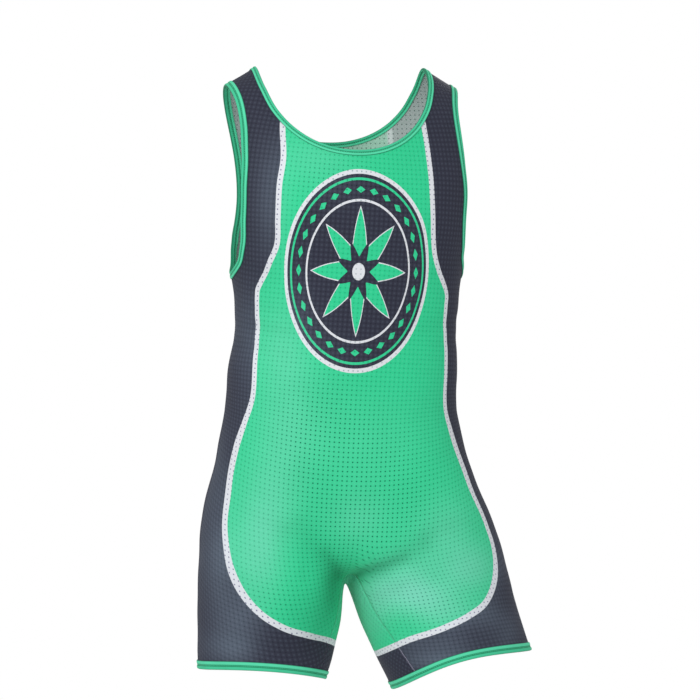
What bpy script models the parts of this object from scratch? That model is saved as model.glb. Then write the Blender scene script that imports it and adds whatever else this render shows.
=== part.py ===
"""A wrestling singlet in its worn shape, hollow, with nobody in it.

Seven pieces of cloth lie on one general figure: a front panel, a back panel, a neck binding,
two armhole bindings and two leg bindings. Metres, +Z up. The front faces -Y and the wearer's
left is +X. The origin is midway between the straps, where they rest on the shoulders.

The figure is only worked out, never made: rings give its trunk and thighs, and a sloping roof
gives its shoulders. Each panel is a grid of cloth, stretched between its seam and edge lines
and laid on the figure. A binding is a strip folded round the edge of the panels, made from
the panels' own points.
"""

import bmesh
import bpy
import numpy as np

MM = 0.001

# Cloth.
PANEL_WALL = 1.4 * MM
BINDING_WALL = 1.0 * MM  # one layer of a folded binding
SEAM_GAP = 0.3 * MM
NECK_WIDTH = 7.5 * MM  # of the bindings
ARMHOLE_WIDTH = 10.0 * MM
HEM_WIDTH = 11.0 * MM

# Cells of the panels' grids, counted from the centre line out and from the hem up.
NECK_COLUMNS = 6
STRAP_COLUMNS = 3
ARM_COLUMNS = {"front": 5, "back": 8}
LEG_ROWS = 7
TRUNK_ROWS = 23
CHEST_ROWS = 9
STRAP_ROWS = 7
# The back's rows crowd along the side seam beside the strip under the crotch, which the front
# hasn't got: {row: share of the side seam}.
SEAT_ROW = 13
SIDE_ROWS = LEG_ROWS + TRUNK_ROWS
SIDE_SPREAD = {"front": None, "back": {0: 0.0, LEG_ROWS: 0.11, SEAT_ROW: 0.235, SIDE_ROWS: 1.0}}

# The figure's rings. "centre" and "side_line" are the X and Y of a ring's middle, "front" and
# "back" its depths from there, and "squareness" is 2 for an ellipse and more for a fuller one.
RING = ("height", "centre", "side_line", "half_width", "front", "back", "squareness")
TRUNK = (
    (-0.700, 0.004, 0.008, 0.150, 0.082, 0.108, 2.1),
    (-0.620, 0.005, 0.009, 0.156, 0.092, 0.117, 2.1),
    (-0.560, 0.004, 0.010, 0.163, 0.104, 0.121, 2.2),
    (-0.510, 0.002, 0.008, 0.157, 0.108, 0.112, 2.2),
    (-0.480, 0.000, 0.006, 0.153, 0.107, 0.103, 2.2),
    (-0.440, -0.001, 0.004, 0.148, 0.104, 0.093, 2.2),
    (-0.380, 0.001, 0.001, 0.148, 0.100, 0.086, 2.2),
    (-0.325, 0.005, 0.000, 0.143, 0.099, 0.086, 2.2),
    (-0.250, 0.006, 0.002, 0.149, 0.107, 0.095, 2.3),
    (-0.180, 0.005, 0.004, 0.160, 0.114, 0.104, 2.4),
    (-0.110, 0.003, 0.008, 0.168, 0.111, 0.108, 2.4),
    (-0.050, 0.001, 0.011, 0.172, 0.101, 0.103, 2.4),
    (0.030, 0.000, 0.012, 0.172, 0.086, 0.094, 2.4),
)
THIGH = {
    "right": (
        (-0.830, -0.1155, 0.004, 0.0685, 0.084, 0.084, 2.0),
        (-0.752, -0.1005, 0.004, 0.0845, 0.090, 0.090, 2.0),
        (-0.680, -0.0930, 0.006, 0.0925, 0.095, 0.098, 2.0),
        (-0.620, -0.0910, 0.008, 0.0920, 0.097, 0.104, 2.1),
        (-0.560, -0.087, 0.010, 0.0870, 0.092, 0.106, 2.1),
        (-0.500, -0.082, 0.010, 0.070, 0.080, 0.090, 2.1),
        (-0.430, -0.080, 0.010, 0.050, 0.055, 0.060, 2.0),
    ),
    "left": (
        (-0.830, 0.1825, 0.004, 0.0925, 0.084, 0.084, 2.0),
        (-0.739, 0.1448, 0.004, 0.1022, 0.092, 0.092, 2.0),
        (-0.680, 0.1230, 0.006, 0.1050, 0.096, 0.099, 2.0),
        (-0.633, 0.1098, 0.008, 0.1062, 0.098, 0.104, 2.1),
        (-0.575, 0.0965, 0.010, 0.1015, 0.094, 0.106, 2.1),
        (-0.510, 0.084, 0.010, 0.078, 0.080, 0.090, 2.1),
        (-0.430, 0.080, 0.010, 0.050, 0.055, 0.060, 2.0),
    ),
}
THIGH_TOP = -0.430
HIP_BLEND = 0.040  # how softly a thigh runs into the trunk
CROTCH_BLEND = 0.008  # how softly the thighs meet
PELVIS_FLOOR = -0.630
FLOOR_BLEND = 0.050

# The shoulders: a ridge that slopes down and out, rounded from front to back.
STRAP_REST = 0.130  # from the middle to the middle of a strap, on the ridge
SHOULDER_SLOPE = 0.60
RIDGE_DEPTH = 0.012
ROOF_RADIUS = 0.050
ROOF_BLEND = 0.030

# The neck's inner binding line: a scoop that starts on the ridge, as a superellipse.
NECK_HALF = {"right": 0.1172, "left": 0.1135}
NECK_TOP = 0.010
NECK_ABOVE = 0.12
NECK_DROP = {"front": 0.1185, "back": 0.093}
NECK_FULLNESS = 2.1
NECK_TURNS = (15, 30, 45, 60, 75, 90)  # degrees round the scoop

# Seam and binding lines. On the front and back a station is (face, out, height), on the side
# (face, depth, height), and on the top and underneath (face, out, depth).
ARMHOLE_TOP = ("top", 0.1425, RIDGE_DEPTH)
ARMHOLE_FRONT = {
    "right": (
        ("front", 0.1350, -0.035),
        ("front", 0.1325, -0.070),
        ("front", 0.1340, -0.110),
        ("front", 0.1365, -0.150),
        ("front", 0.1380, -0.188),
        ("side", -0.055, -0.220),
        ("side", -0.040, -0.244),
        ("side", -0.017, -0.257),
    ),
    "left": (
        ("front", 0.1350, -0.035),
        ("front", 0.1345, -0.075),
        ("front", 0.1385, -0.115),
        ("front", 0.1415, -0.155),
        ("front", 0.1395, -0.190),
        ("side", -0.052, -0.220),
        ("side", -0.037, -0.244),
        ("side", -0.015, -0.257),
    ),
}
UNDERARM = ("side", 0.006, -0.261)
ARMHOLE_BACK = (
    ("side", 0.038, -0.250),
    ("back", 0.1370, -0.222),
    ("back", 0.1270, -0.185),
    ("back", 0.1210, -0.145),
    ("back", 0.1220, -0.105),
    ("back", 0.1280, -0.068),
    ("back", 0.1370, -0.032),
)
SIDE_SEAM = (
    ("side", 0.006, -0.320),
    ("side", 0.006, -0.400),
    ("side", 0.007, -0.480),
    ("side", 0.010, -0.560),
    ("side", 0.008, -0.640),
    ("side", 0.006, -0.700),
)
CROTCH_POINT = ("front", 0.0, -0.641)  # where both inseams and the centre lines meet
CENTRE_FRONT_HEIGHTS = (-0.60, -0.53, -0.45, -0.37, -0.29, -0.21, -0.15)
UNDER_CROTCH = (("under", 0.0, -0.020), ("under", 0.0, 0.025), ("under", 0.0, 0.065))
CENTRE_BACK_HEIGHTS = (-0.62, -0.56, -0.49, -0.41, -0.33, -0.25, -0.17, -0.12)

# Leg lines. A turn is in degrees round the thigh, from the side (0) past the front (-90).
HEM_HEIGHT = {  # of the inner binding line, at the outside, front, inside and back of a leg
    "right": (-0.749, -0.7445, -0.7655, -0.756),
    "left": (-0.734, -0.7355, -0.781, -0.757),
}
# The inseam: (share of the way from the hem to the crotch point, turn).
INSEAM = ((0.0, -137.0), (0.33, -144.0), (0.62, -151.0))

# Largest folds, soft troughs on the front: (low X, low Z, high X, high Z, half-width, depth).
FOLDS = (
    (0.012, -0.634, 0.085, -0.592, 0.017, 3.0 * MM),
    (-0.012, -0.632, -0.075, -0.586, 0.018, 2.5 * MM),
)

# How the work is done.
SIDES = {"right": -1, "left": 1}
PROBE = 0.2 * MM
RAY_FROM = 0.45
RAY_STEPS = 300
BISECTIONS = 24
SETTLE_PASSES = 5
DENSE = 24  # points worked out between two stations of a line
HEM_STEPS = 96
FULL_TURN = 360
RELAX_PASSES = 120
HALF_HUB = 0.45  # the middle of half the trunk, as a share of its half-width
CROTCH_DIP = 0.030
WELD = 0.01 * MM

MINT = (0.075, 0.60, 0.34, 1.0)
BINDING_MINT = (0.09, 0.66, 0.40, 1.0)
CLOTH_ROUGHNESS = 0.75


# ---------------------------------------------------------------- the figure
def smooth(at, knots, values):
    """A smooth curve through the knots, level beyond its ends."""
    slopes = np.gradient(values, knots)
    at = np.clip(at, knots[0], knots[-1])
    left = np.clip(np.searchsorted(knots, at, side="right") - 1, 0, len(knots) - 2)
    span = knots[left + 1] - knots[left]
    part = (at - knots[left]) / span
    rest = 1 - part
    ends = values[left] * (1 + 2 * part) * rest**2 + values[left + 1] * (3 - 2 * part) * part**2
    bend = slopes[left] * rest - slopes[left + 1] * part
    return ends + span * part * rest * bend


def ring_value(table, name, heights):
    rows = np.array(table)
    return smooth(heights, rows[:, 0], rows[:, RING.index(name)])


def ring_field(points, table):
    """How far points lie outside a tube of rings, measured level from its middle."""
    x, y, z = points.T
    across = x - ring_value(table, "centre", z)
    deep = y - ring_value(table, "side_line", z)
    front, back = ring_value(table, "front", z), ring_value(table, "back", z)
    depth = np.where(deep < 0, front, back)
    half_width = ring_value(table, "half_width", z)
    power = ring_value(table, "squareness", z)
    share = (np.abs(across / half_width) ** power + np.abs(deep / depth) ** power) ** (1 / power)
    reach = np.hypot(across, deep)
    return reach - reach / np.maximum(share, PROBE)


def joined(one, other, blend):
    """Two fields as one body, softened where they meet."""
    share = np.clip(0.5 + 0.5 * (other - one) / blend, 0, 1)
    return other + (one - other) * share - blend * share * (1 - share)


def kept(one, other, blend):
    """What two fields have in common, with the edge softened."""
    return -joined(-one, -other, blend)


def roof_field(points):
    x, y, z = points.T
    ridge = SHOULDER_SLOPE * (STRAP_REST - np.abs(x))
    deep = (y - RIDGE_DEPTH) / ROOF_RADIUS
    fall = deep**2 * ROOF_RADIUS / 2
    return (z - ridge + fall) / np.sqrt(1 + SHOULDER_SLOPE**2 + deep**2)


def figure(points):
    """Below zero inside the figure, zero on it, and above zero outside."""
    trunk = kept(ring_field(points, TRUNK), roof_field(points), ROOF_BLEND)
    trunk = kept(trunk, PELVIS_FLOOR - points[:, 2], FLOOR_BLEND)
    over_thigh = points[:, 2] - THIGH_TOP
    thighs = [kept(ring_field(points, THIGH[name]), over_thigh, HIP_BLEND) for name in SIDES]
    return joined(trunk, joined(*thighs, CROTCH_BLEND), HIP_BLEND)


def slope(points):
    """The figure's gradient, which points straight out of it."""
    probes = np.eye(3) * PROBE
    steps = [(figure(points + probe) - figure(points - probe)) / (2 * PROBE) for probe in probes]
    return np.stack(steps, axis=1)


def unit(vectors):
    return vectors / np.linalg.norm(vectors, axis=-1, keepdims=True)


def settle(points, passes=SETTLE_PASSES):
    """Moves points straight onto the figure."""
    for _ in range(passes):
        out = slope(points)
        points = points - out * (figure(points) / (out**2).sum(axis=1))[:, None]
    return points


def meet(start, way):
    """Where a ray from outside first meets the figure."""
    steps = np.linspace(0, 2 * RAY_FROM, RAY_STEPS)
    first = np.argmax(figure(start + way * steps[:, None]) < 0)
    near, far = steps[first - 1], steps[first]
    for _ in range(BISECTIONS):
        middle = (near + far) / 2
        if figure((start + way * middle)[None])[0] < 0:
            far = middle
        else:
            near = middle
    return start + way * far


# ---------------------------------------------------------------- lines on the figure
def station(face, first, second, side):
    """One point of a line, from the two measures that its face gives."""
    if face in ("front", "back"):
        away = -1 if face == "front" else 1
        middle = ring_value(TRUNK, "centre", np.array([second]))[0]
        start, way = (middle + side * first, away * RAY_FROM, second), (0, -away, 0)
    elif face == "side":
        start, way = (side * RAY_FROM, first, second), (-side, 0, 0)
    else:
        away = 1 if face == "top" else -1
        height = away * RAY_FROM + (PELVIS_FLOOR if face == "under" else 0)
        middle = ring_value(TRUNK, "centre", np.array([height]))[0]
        start, way = (middle + side * first, second, height), (0, 0, -away)
    return meet(np.array(start), np.array(way))


def stations(table, side):
    return [station(*row, side) for row in table]


def through(points, closed=False):
    """A dense smooth line through points; point k of the input is at k * DENSE."""
    points = np.array(points)
    wrap = 2 if closed else 0
    if closed:
        points = np.vstack((points[-wrap:], points, points[: wrap + 1]))
    knots = np.append(0, np.cumsum(np.linalg.norm(np.diff(points, axis=0), axis=1)))
    last = (len(points) - 1 - wrap) * DENSE
    spots = np.interp(np.arange(wrap * DENSE, last + 1) / DENSE, np.arange(len(knots)), knots)
    return np.stack([smooth(spots, knots, values) for values in points.T], axis=1)


def even(line, cells, spread=None):
    """A dense line as steps on the figure: equal ones, or spread as {cell: share of the way}."""
    line = settle(line)
    length = np.append(0, np.cumsum(np.linalg.norm(np.diff(line, axis=0), axis=1)))
    shares = np.linspace(0, 1, cells + 1)
    if spread:
        at, way = (np.array(list(part)) for part in (spread.keys(), spread.values()))
        shares = smooth(np.arange(cells + 1), at, way)
    spots = shares * length[-1]
    return np.stack([np.interp(spots, length, values) for values in line.T], axis=1)


def neck_line():
    """Half of the neck's lines, {face: centre to shoulder}, on both sides."""
    lines = {}
    for name, side in SIDES.items():
        top = station("top", NECK_HALF[name], RIDGE_DEPTH, side)
        for face, drop in NECK_DROP.items():
            points = [top]
            for turn in np.radians(NECK_TURNS):
                out = NECK_HALF[name] * np.clip(np.cos(turn), 0, 1) ** (2 / NECK_FULLNESS)
                height = NECK_TOP - drop * np.sin(turn) ** (2 / NECK_FULLNESS)
                points.append(station(face, out, height, side))
            lines[face, name] = points[::-1]
    ring = lines["front", "right"][::-1] + lines["front", "left"][1:]
    ring += lines["back", "left"][::-1][1:] + lines["back", "right"][1:-1]
    dense = through(ring, closed=True)
    quarter = len(NECK_TURNS) * DENSE
    cells = NECK_COLUMNS + STRAP_ROWS
    cut = {
        ("front", "right"): dense[: quarter + 1][::-1],
        ("front", "left"): dense[quarter : 2 * quarter + 1],
        ("back", "left"): dense[2 * quarter : 3 * quarter + 1][::-1],
        ("back", "right"): dense[3 * quarter :],
    }
    return {key: even(line, cells) for key, line in cut.items()}


def armhole_line(name):
    """{face: underarm to shoulder} for one armhole."""
    side, front = SIDES[name], ARMHOLE_FRONT[name]
    ring = [station(*UNDERARM, side), *stations(front[::-1], side)]
    ring += [station(*ARMHOLE_TOP, side), *stations(ARMHOLE_BACK[::-1], side)]
    dense = through(ring, closed=True)
    top = (len(front) + 1) * DENSE
    cut = {"front": dense[: top + 1], "back": dense[top:][::-1]}
    rows = CHEST_ROWS + STRAP_ROWS
    return {face: even(line, ARM_COLUMNS[face] + rows) for face, line in cut.items()}


def on_thigh(name, turn, height):
    """A point near the thigh's surface, a turn round it from the side seam."""
    height = np.asarray(height, dtype=float)
    centre = ring_value(THIGH[name], "centre", height)
    side_line = ring_value(THIGH[name], "side_line", height)
    radius = ring_value(THIGH[name], "half_width", height)
    out = SIDES[name] * radius * np.cos(np.radians(turn))
    return np.stack((centre + out, side_line + radius * np.sin(np.radians(turn)), height), -1)


def hem_height(name, turn):
    """A hem that tips and dips: a wave through its four quarters."""
    outside, front, inside, back = HEM_HEIGHT[name]
    turn = np.radians(turn)
    level = (outside + front + inside + back) / 4
    lean = (outside - inside) / 2 * np.cos(turn) + (back - front) / 2 * np.sin(turn)
    return level + lean + (outside + inside - front - back) / 4 * np.cos(2 * turn)


def hem_line(name):
    """{face: inseam to side seam} for one leg."""
    lines = {}
    _, inseam = INSEAM[0]
    for face, end in (("front", 0), ("back", -FULL_TURN)):
        turns = np.linspace(inseam, end, HEM_STEPS)
        points = on_thigh(name, turns, hem_height(name, turns))
        lines[face] = even(points, NECK_COLUMNS + STRAP_COLUMNS + ARM_COLUMNS[face])
    return lines


def seam_lines(name, hem, underarm):
    """The inseam from hem to crotch, and the side seam from hem to underarm."""
    side = SIDES[name]
    crotch = station(*CROTCH_POINT, side)
    low = hem["front"][0]
    inner = [low]
    for share, turn in INSEAM[1:]:
        inner.append(on_thigh(name, turn, low[2] + share * (crotch[2] - low[2])))
    outer = [hem["front"][-1], *stations(SIDE_SEAM[::-1], side), underarm]
    side_seams = {face: even(through(outer), SIDE_ROWS, SIDE_SPREAD[face]) for face in NECK_DROP}
    return even(through([*inner, crotch]), LEG_ROWS), side_seams


def centre_line(face, neck_bottom):
    """From the crotch point up to the neck, on the front or under and up the back."""
    crotch = station(*CROTCH_POINT, 1)
    if face == "front":
        between = [station("front", 0.0, height, 1) for height in CENTRE_FRONT_HEIGHTS]
    else:
        between = stations(UNDER_CROTCH, 1)
        between += [station("back", 0.0, height, 1) for height in CENTRE_BACK_HEIGHTS]
    return even(through([crotch, *between, neck_bottom]), TRUNK_ROWS + CHEST_ROWS)


# ---------------------------------------------------------------- panels
def fan(inner, outer, name, face, cells, dip):
    """A first guess at a row of cloth, turned round the middle of its half of the body."""
    side = SIDES[name]
    height = np.array([(inner[2] + outer[2]) / 2])
    trunk_hub = side * HALF_HUB * ring_value(TRUNK, "half_width", height)[0]
    thigh_hub = ring_value(THIGH[name], "centre", height)[0]
    over_crotch = np.clip((height[0] - PELVIS_FLOOR) / FLOOR_BLEND, 0, 1)
    hub_x = trunk_hub * over_crotch + thigh_hub * (1 - over_crotch)
    hub = np.array((hub_x, ring_value(TRUNK, "side_line", height)[0]))
    ends = np.array((inner, outer))
    spokes = ends[:, :2] - hub
    turn = np.arctan2(spokes[:, 1], side * spokes[:, 0])
    if face == "back" and turn[0] < -np.pi / 2:
        turn[0] += 2 * np.pi
    if face == "front" and turn[0] > np.pi / 2:
        turn[0] -= 2 * np.pi
    share = np.linspace(0, 1, cells + 1)
    turns = turn[0] + (turn[1] - turn[0]) * share
    radius = np.linalg.norm(spokes[0]) * (1 - share) + np.linalg.norm(spokes[1]) * share
    heights = inner[2] * (1 - share) + outer[2] * share
    heights -= dip * np.clip(-np.cos(turns), 0, 1) * (share > 0)
    spread = np.stack((side * radius * np.cos(turns), radius * np.sin(turns)), axis=1)
    return np.column_stack((hub + spread, heights))


def half_panel(name, face, lines):
    """One half of a panel: a grid with notches for the neck and the armhole."""
    neck_at = NECK_COLUMNS
    arm_at = neck_at + STRAP_COLUMNS
    last = arm_at + ARM_COLUMNS[face]
    crotch_at = LEG_ROWS
    underarm_at = crotch_at + TRUNK_ROWS
    collar_at = underarm_at + CHEST_ROWS
    top = collar_at + STRAP_ROWS

    sheet = np.full((top + 1, last + 1, 3), np.nan)
    hem, inseam, side_seam = lines["hem"], lines["inseam"], lines["side"]
    neck, armhole = lines["neck"], lines["armhole"]
    fixed = np.zeros(sheet.shape[:2], dtype=bool)

    def lay(rows, columns, points):
        sheet[rows, columns] = points
        fixed[rows, columns] = True

    lay(0, slice(None), hem)
    lay(slice(0, crotch_at + 1), 0, inseam)
    lay(slice(crotch_at, collar_at + 1), 0, lines["centre"])
    lay(slice(0, underarm_at + 1), last, side_seam)
    lay(underarm_at, slice(arm_at, last + 1), armhole[: last - arm_at + 1][::-1])
    lay(slice(underarm_at, top + 1), arm_at, armhole[last - arm_at :])
    lay(collar_at, slice(0, neck_at + 1), neck[: neck_at + 1])
    lay(slice(collar_at, top + 1), neck_at, neck[neck_at:])
    shoulder = np.linspace(neck[-1], armhole[-1], STRAP_COLUMNS + 1)
    lay(top, slice(neck_at, arm_at + 1), settle(shoulder))

    for row in range(1, top):
        first = neck_at if row >= collar_at else 0
        end = arm_at if row >= underarm_at else last
        near_crotch = min(row / crotch_at, 1.0) if row <= crotch_at else 0.0
        dip = CROTCH_DIP * near_crotch if face == "back" else 0.0
        guess = fan(sheet[row, first], sheet[row, end], name, face, end - first, dip)
        inside = slice(first + 1, end)
        sheet[row, inside] = settle(guess[1:-1])

    free = ~np.isnan(sheet[..., 0]) & ~fixed
    for _ in range(RELAX_PASSES):
        middle = np.zeros_like(sheet)
        middle[1:-1, 1:-1] = (sheet[:-2, 1:-1] + sheet[2:, 1:-1]) / 4
        middle[1:-1, 1:-1] += (sheet[1:-1, :-2] + sheet[1:-1, 2:]) / 4
        sheet[free] = settle(middle[free], passes=1)
    sheet[free] = settle(sheet[free])
    return sheet


def edge_strip(line, toward, reach):
    """A closed line moved sideways on the figure, toward an opening."""
    along = np.roll(line, -1, axis=0) - np.roll(line, 1, axis=0)
    sideways = unit(np.cross(along, slope(line)))
    flip = np.sign(((toward - line) * sideways).sum(axis=1, keepdims=True))
    return settle(line + sideways * flip * reach)


def fold_depth(points):
    """How deep the troughs are at each point."""
    total = np.zeros(len(points))
    on_front = points[:, 1] < 0
    for x_low, z_low, x_high, z_high, half_width, depth in FOLDS:
        start = np.array((x_low, z_low))
        run = np.array((x_high, z_high)) - start
        from_start = points[:, [0, 2]] - start
        share = (from_start @ run) / (run @ run)
        off = np.linalg.norm(from_start - np.clip(share, 0, 1)[:, None] * run, axis=1)
        ease = np.exp(-((off / half_width) ** 2))
        total += np.where(on_front, depth * ease * np.clip(1 - share / 2, 0, 1), 0)
    return total


def folded(points):
    """Points with the troughs pressed in, and the way out of the cloth at each."""
    out = unit(slope(points))
    return points - out * fold_depth(points)[:, None], out


def into_panel(sheet, half_gap):
    """Draws a half panel's seam edges back by half of the seam's gap."""
    moved = sheet.copy()
    last = sheet.shape[1] - 1
    underarm_at = LEG_ROWS + TRUNK_ROWS
    seams = (
        (slice(0, LEG_ROWS), 0, slice(0, LEG_ROWS), 1),
        (LEG_ROWS, 0, LEG_ROWS + 1, 0),
        (slice(0, underarm_at + 1), last, slice(0, underarm_at + 1), last - 1),
    )
    for rows, column, next_rows, next_column in seams:
        edge = sheet[rows, column]
        moved[rows, column] = edge + unit(sheet[next_rows, next_column] - edge) * half_gap
    edge = sheet[-1, NECK_COLUMNS : NECK_COLUMNS + STRAP_COLUMNS + 1]
    below = sheet[-2, NECK_COLUMNS : NECK_COLUMNS + STRAP_COLUMNS + 1]
    moved[-1, NECK_COLUMNS : NECK_COLUMNS + STRAP_COLUMNS + 1] = edge + unit(below - edge) * half_gap
    return moved


def edge_grids(name, sheet, drawn, rings, edges):
    """The strips of a half panel that lie inside the bindings, drawn back with its seams."""
    arm_at = NECK_COLUMNS + STRAP_COLUMNS
    underarm_at = LEG_ROWS + TRUNK_ROWS
    collar_at = underarm_at + CHEST_ROWS
    borders = {
        "neck": [(collar_at, column) for column in range(NECK_COLUMNS)]
        + [(row, NECK_COLUMNS) for row in range(collar_at, sheet.shape[0])],
        "armhole_" + name: [(underarm_at, column) for column in range(sheet.shape[1] - 1, arm_at, -1)]
        + [(row, arm_at) for row in range(underarm_at, sheet.shape[0])],
        "leg_" + name: [(0, column) for column in range(sheet.shape[1])],
    }
    grids = []
    for key, places in borders.items():
        rows, columns = np.array(places).T
        edge, seam_edge = sheet[rows, columns], drawn[rows, columns]
        apart = np.linalg.norm(rings[key][0][None] - edge[:, None], axis=2)
        strip = edges[key][np.argmin(apart, axis=1)]
        grids.append(np.stack((seam_edge, strip + (seam_edge - edge))))
    return grids


def folded_grid(grid):
    there = ~np.isnan(grid[..., 0])
    pressed = grid.copy()
    pressed[there] = folded(grid[there])[0]
    return pressed


# ---------------------------------------------------------------- meshes
def bow(start, end):
    """How far the middle of each straight line between two points leaves the cloth's level."""
    ends = [figure(points.reshape(-1, 3)) for points in (start, end)]
    middle = figure(((start + end) / 2).reshape(-1, 3))
    return np.abs(middle - sum(ends) / 2).reshape(start.shape[:2])


def cloth(name, grids, wall, collection, colour):
    """Grids of points as one open sheet, given its thickness by Solidify.

    Each cell is split along the diagonal that stays nearer the cloth, so that pieces lying on
    one another split alike.
    """
    mesh = bpy.data.meshes.new(name)
    body = bmesh.new()
    for grid in grids:
        there = ~np.isnan(grid[..., 0])
        corners = {}
        for row, column in zip(*np.nonzero(there)):
            corners[row, column] = body.verts.new(grid[row, column])
        whole = there[:-1, :-1] & there[1:, :-1] & there[:-1, 1:] & there[1:, 1:]
        turned = bow(grid[:-1, :-1], grid[1:, 1:]) > bow(grid[:-1, 1:], grid[1:, :-1])
        for row, column in zip(*np.nonzero(whole)):
            around = [(row, column), (row, column + 1), (row + 1, column + 1), (row + 1, column)]
            if turned[row, column]:
                around = around[1:] + around[:1]
            first, second, third, fourth = (corners[place] for place in around)
            body.faces.new((first, second, third))
            body.faces.new((first, third, fourth))
    bmesh.ops.remove_doubles(body, verts=body.verts, dist=WELD)
    bmesh.ops.recalc_face_normals(body, faces=body.faces)
    face = body.faces[0]
    middle = np.array(face.calc_center_median())[None]
    if np.dot(slope(middle)[0], face.normal) < 0:
        bmesh.ops.reverse_faces(body, faces=body.faces)
    body.to_mesh(mesh)
    body.free()
    mesh.shade_smooth()
    piece = bpy.data.objects.new(name, mesh)
    thickness = piece.modifiers.new("wall", "SOLIDIFY")
    thickness.thickness = wall
    thickness.offset = 0
    thickness.use_even_offset = True
    mesh.materials.append(cloth_material(name, colour))
    collection.objects.link(piece)
    return piece


def cloth_material(name, colour):
    material = bpy.data.materials.new(name + "_cloth")
    material.use_nodes = True
    shader = material.node_tree.nodes["Principled BSDF"]
    shader.inputs["Base Color"].default_value = colour
    shader.inputs["Roughness"].default_value = CLOTH_ROUGHNESS
    shader.inputs["Metallic"].default_value = 0.0
    return material


def binding(name, line, toward, width, collection):
    """A strip folded round an edge: a U, open toward the panels, along a closed line."""
    stand = PANEL_WALL / 2 + SEAM_GAP + BINDING_WALL / 2
    edge, out = folded(line)
    fold, fold_out = folded(edge_strip(line, toward, width - BINDING_WALL / 2))
    profile = (edge - out * stand, fold - fold_out * stand, fold + fold_out * stand, edge + out * stand)
    grid = np.stack(profile)
    grid = np.concatenate((grid, grid[:, :1]), axis=1)
    return cloth(name, [grid], BINDING_WALL, collection, BINDING_MINT)


def main():
    for thing in list(bpy.data.objects):
        bpy.data.objects.remove(thing, do_unlink=True)
    collection = bpy.data.collections.new("wrestling_singlet")
    bpy.context.scene.collection.children.link(collection)

    necks = neck_line()
    centres = {face: centre_line(face, necks[face, "right"][0]) for face in NECK_DROP}
    armholes = {name: armhole_line(name) for name in SIDES}
    hems = {name: hem_line(name) for name in SIDES}
    seams = {name: seam_lines(name, hems[name], armholes[name]["front"][0]) for name in SIDES}

    # Closed binding lines, and the same lines moved out to the panels' raw edges.
    neck_ring = np.vstack(
        (
            necks["front", "right"][::-1],
            necks["front", "left"][1:],
            necks["back", "left"][::-1][1:],
            necks["back", "right"][1:-1],
        )
    )
    rings = {"neck": (neck_ring, np.array((0.0, 0.0, NECK_ABOVE)), NECK_WIDTH)}
    for name, side in SIDES.items():
        arm = armholes[name]
        arm_ring = np.vstack((arm["front"], arm["back"][::-1][1:-1]))
        beside = np.array((side * RAY_FROM, 0.0, UNDERARM[2] / 2))
        rings["armhole_" + name] = (arm_ring, beside, ARMHOLE_WIDTH)
        leg_ring = np.vstack((hems[name]["front"], hems[name]["back"][::-1][1:-1]))
        below = leg_ring.mean(axis=0) - np.array((0.0, 0.0, RAY_FROM))
        rings["leg_" + name] = (leg_ring, below, HEM_WIDTH)
    raw_edge = BINDING_WALL + SEAM_GAP
    edges = {key: edge_strip(line, to, width - raw_edge) for key, (line, to, width) in rings.items()}

    for face in ("front", "back"):
        grids = []
        for name in SIDES:
            inseam, side_seam = seams[name]
            lines = {
                "hem": hems[name][face],
                "inseam": inseam,
                "side": side_seam[face],
                "centre": centres[face],
                "neck": necks[face, name],
                "armhole": armholes[name][face],
            }
            sheet = half_panel(name, face, lines)
            drawn = into_panel(sheet, SEAM_GAP / 2)
            grids.append(drawn)
            grids += edge_grids(name, sheet, drawn, rings, edges)
        pressed = [folded_grid(grid) for grid in grids]
        cloth(face + "_panel", pressed, PANEL_WALL, collection, MINT)

    for key, (line, toward, width) in rings.items():
        place, _, side = key.partition("_")
        title = place + "_binding" + ("_" + side if side else "")
        binding(title, line, toward, width, collection)


main()
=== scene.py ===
"""The looks of a wrestling singlet: printed sports mesh, folded bindings and sewn seams.

Each panel and binding is a finer sheet on the same figure as its solid, which it replaces.
Metres, +Z up. The front faces -Y and the wearer's left is +X. The figure's rings and the seam
lines repeat the sizes of the solids' own source, and FINE splits each of their cells.
"""

import bmesh
import bpy
import numpy as np
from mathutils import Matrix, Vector
from mathutils.kdtree import KDTree

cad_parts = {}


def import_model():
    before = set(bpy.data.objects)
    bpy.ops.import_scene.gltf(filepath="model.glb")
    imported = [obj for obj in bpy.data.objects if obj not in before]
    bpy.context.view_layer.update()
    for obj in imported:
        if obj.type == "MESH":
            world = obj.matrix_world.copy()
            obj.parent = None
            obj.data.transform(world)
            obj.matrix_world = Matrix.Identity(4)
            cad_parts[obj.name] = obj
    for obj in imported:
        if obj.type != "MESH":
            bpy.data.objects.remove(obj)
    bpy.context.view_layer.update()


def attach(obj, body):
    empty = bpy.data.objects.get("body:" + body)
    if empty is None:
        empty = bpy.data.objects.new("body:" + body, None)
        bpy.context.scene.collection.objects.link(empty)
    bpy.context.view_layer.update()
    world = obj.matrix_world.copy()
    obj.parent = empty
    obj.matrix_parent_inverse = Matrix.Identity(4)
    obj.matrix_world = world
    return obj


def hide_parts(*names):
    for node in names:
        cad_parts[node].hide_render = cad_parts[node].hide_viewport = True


MM = 0.001

# Cloth.
PANEL_WALL = 1.4 * MM
BINDING_WALL = 1.0 * MM
SEAM_GAP = 0.3 * MM
NECK_WIDTH = 7.5 * MM
ARMHOLE_WIDTH = 10.0 * MM
HEM_WIDTH = 11.0 * MM
BINDING_CLOTH = 0.7 * MM  # what shows of a binding's own thickness

# Cells of the solids' grids, and how many fine cells each becomes along a side.
FINE = 5
NECK_COLUMNS = 6
STRAP_COLUMNS = 3
ARM_COLUMNS = {"front": 5, "back": 8}
LEG_ROWS = 7
TRUNK_ROWS = 23
CHEST_ROWS = 9
STRAP_ROWS = 7
SEAT_ROW = 13
SIDE_ROWS = LEG_ROWS + TRUNK_ROWS
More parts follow.
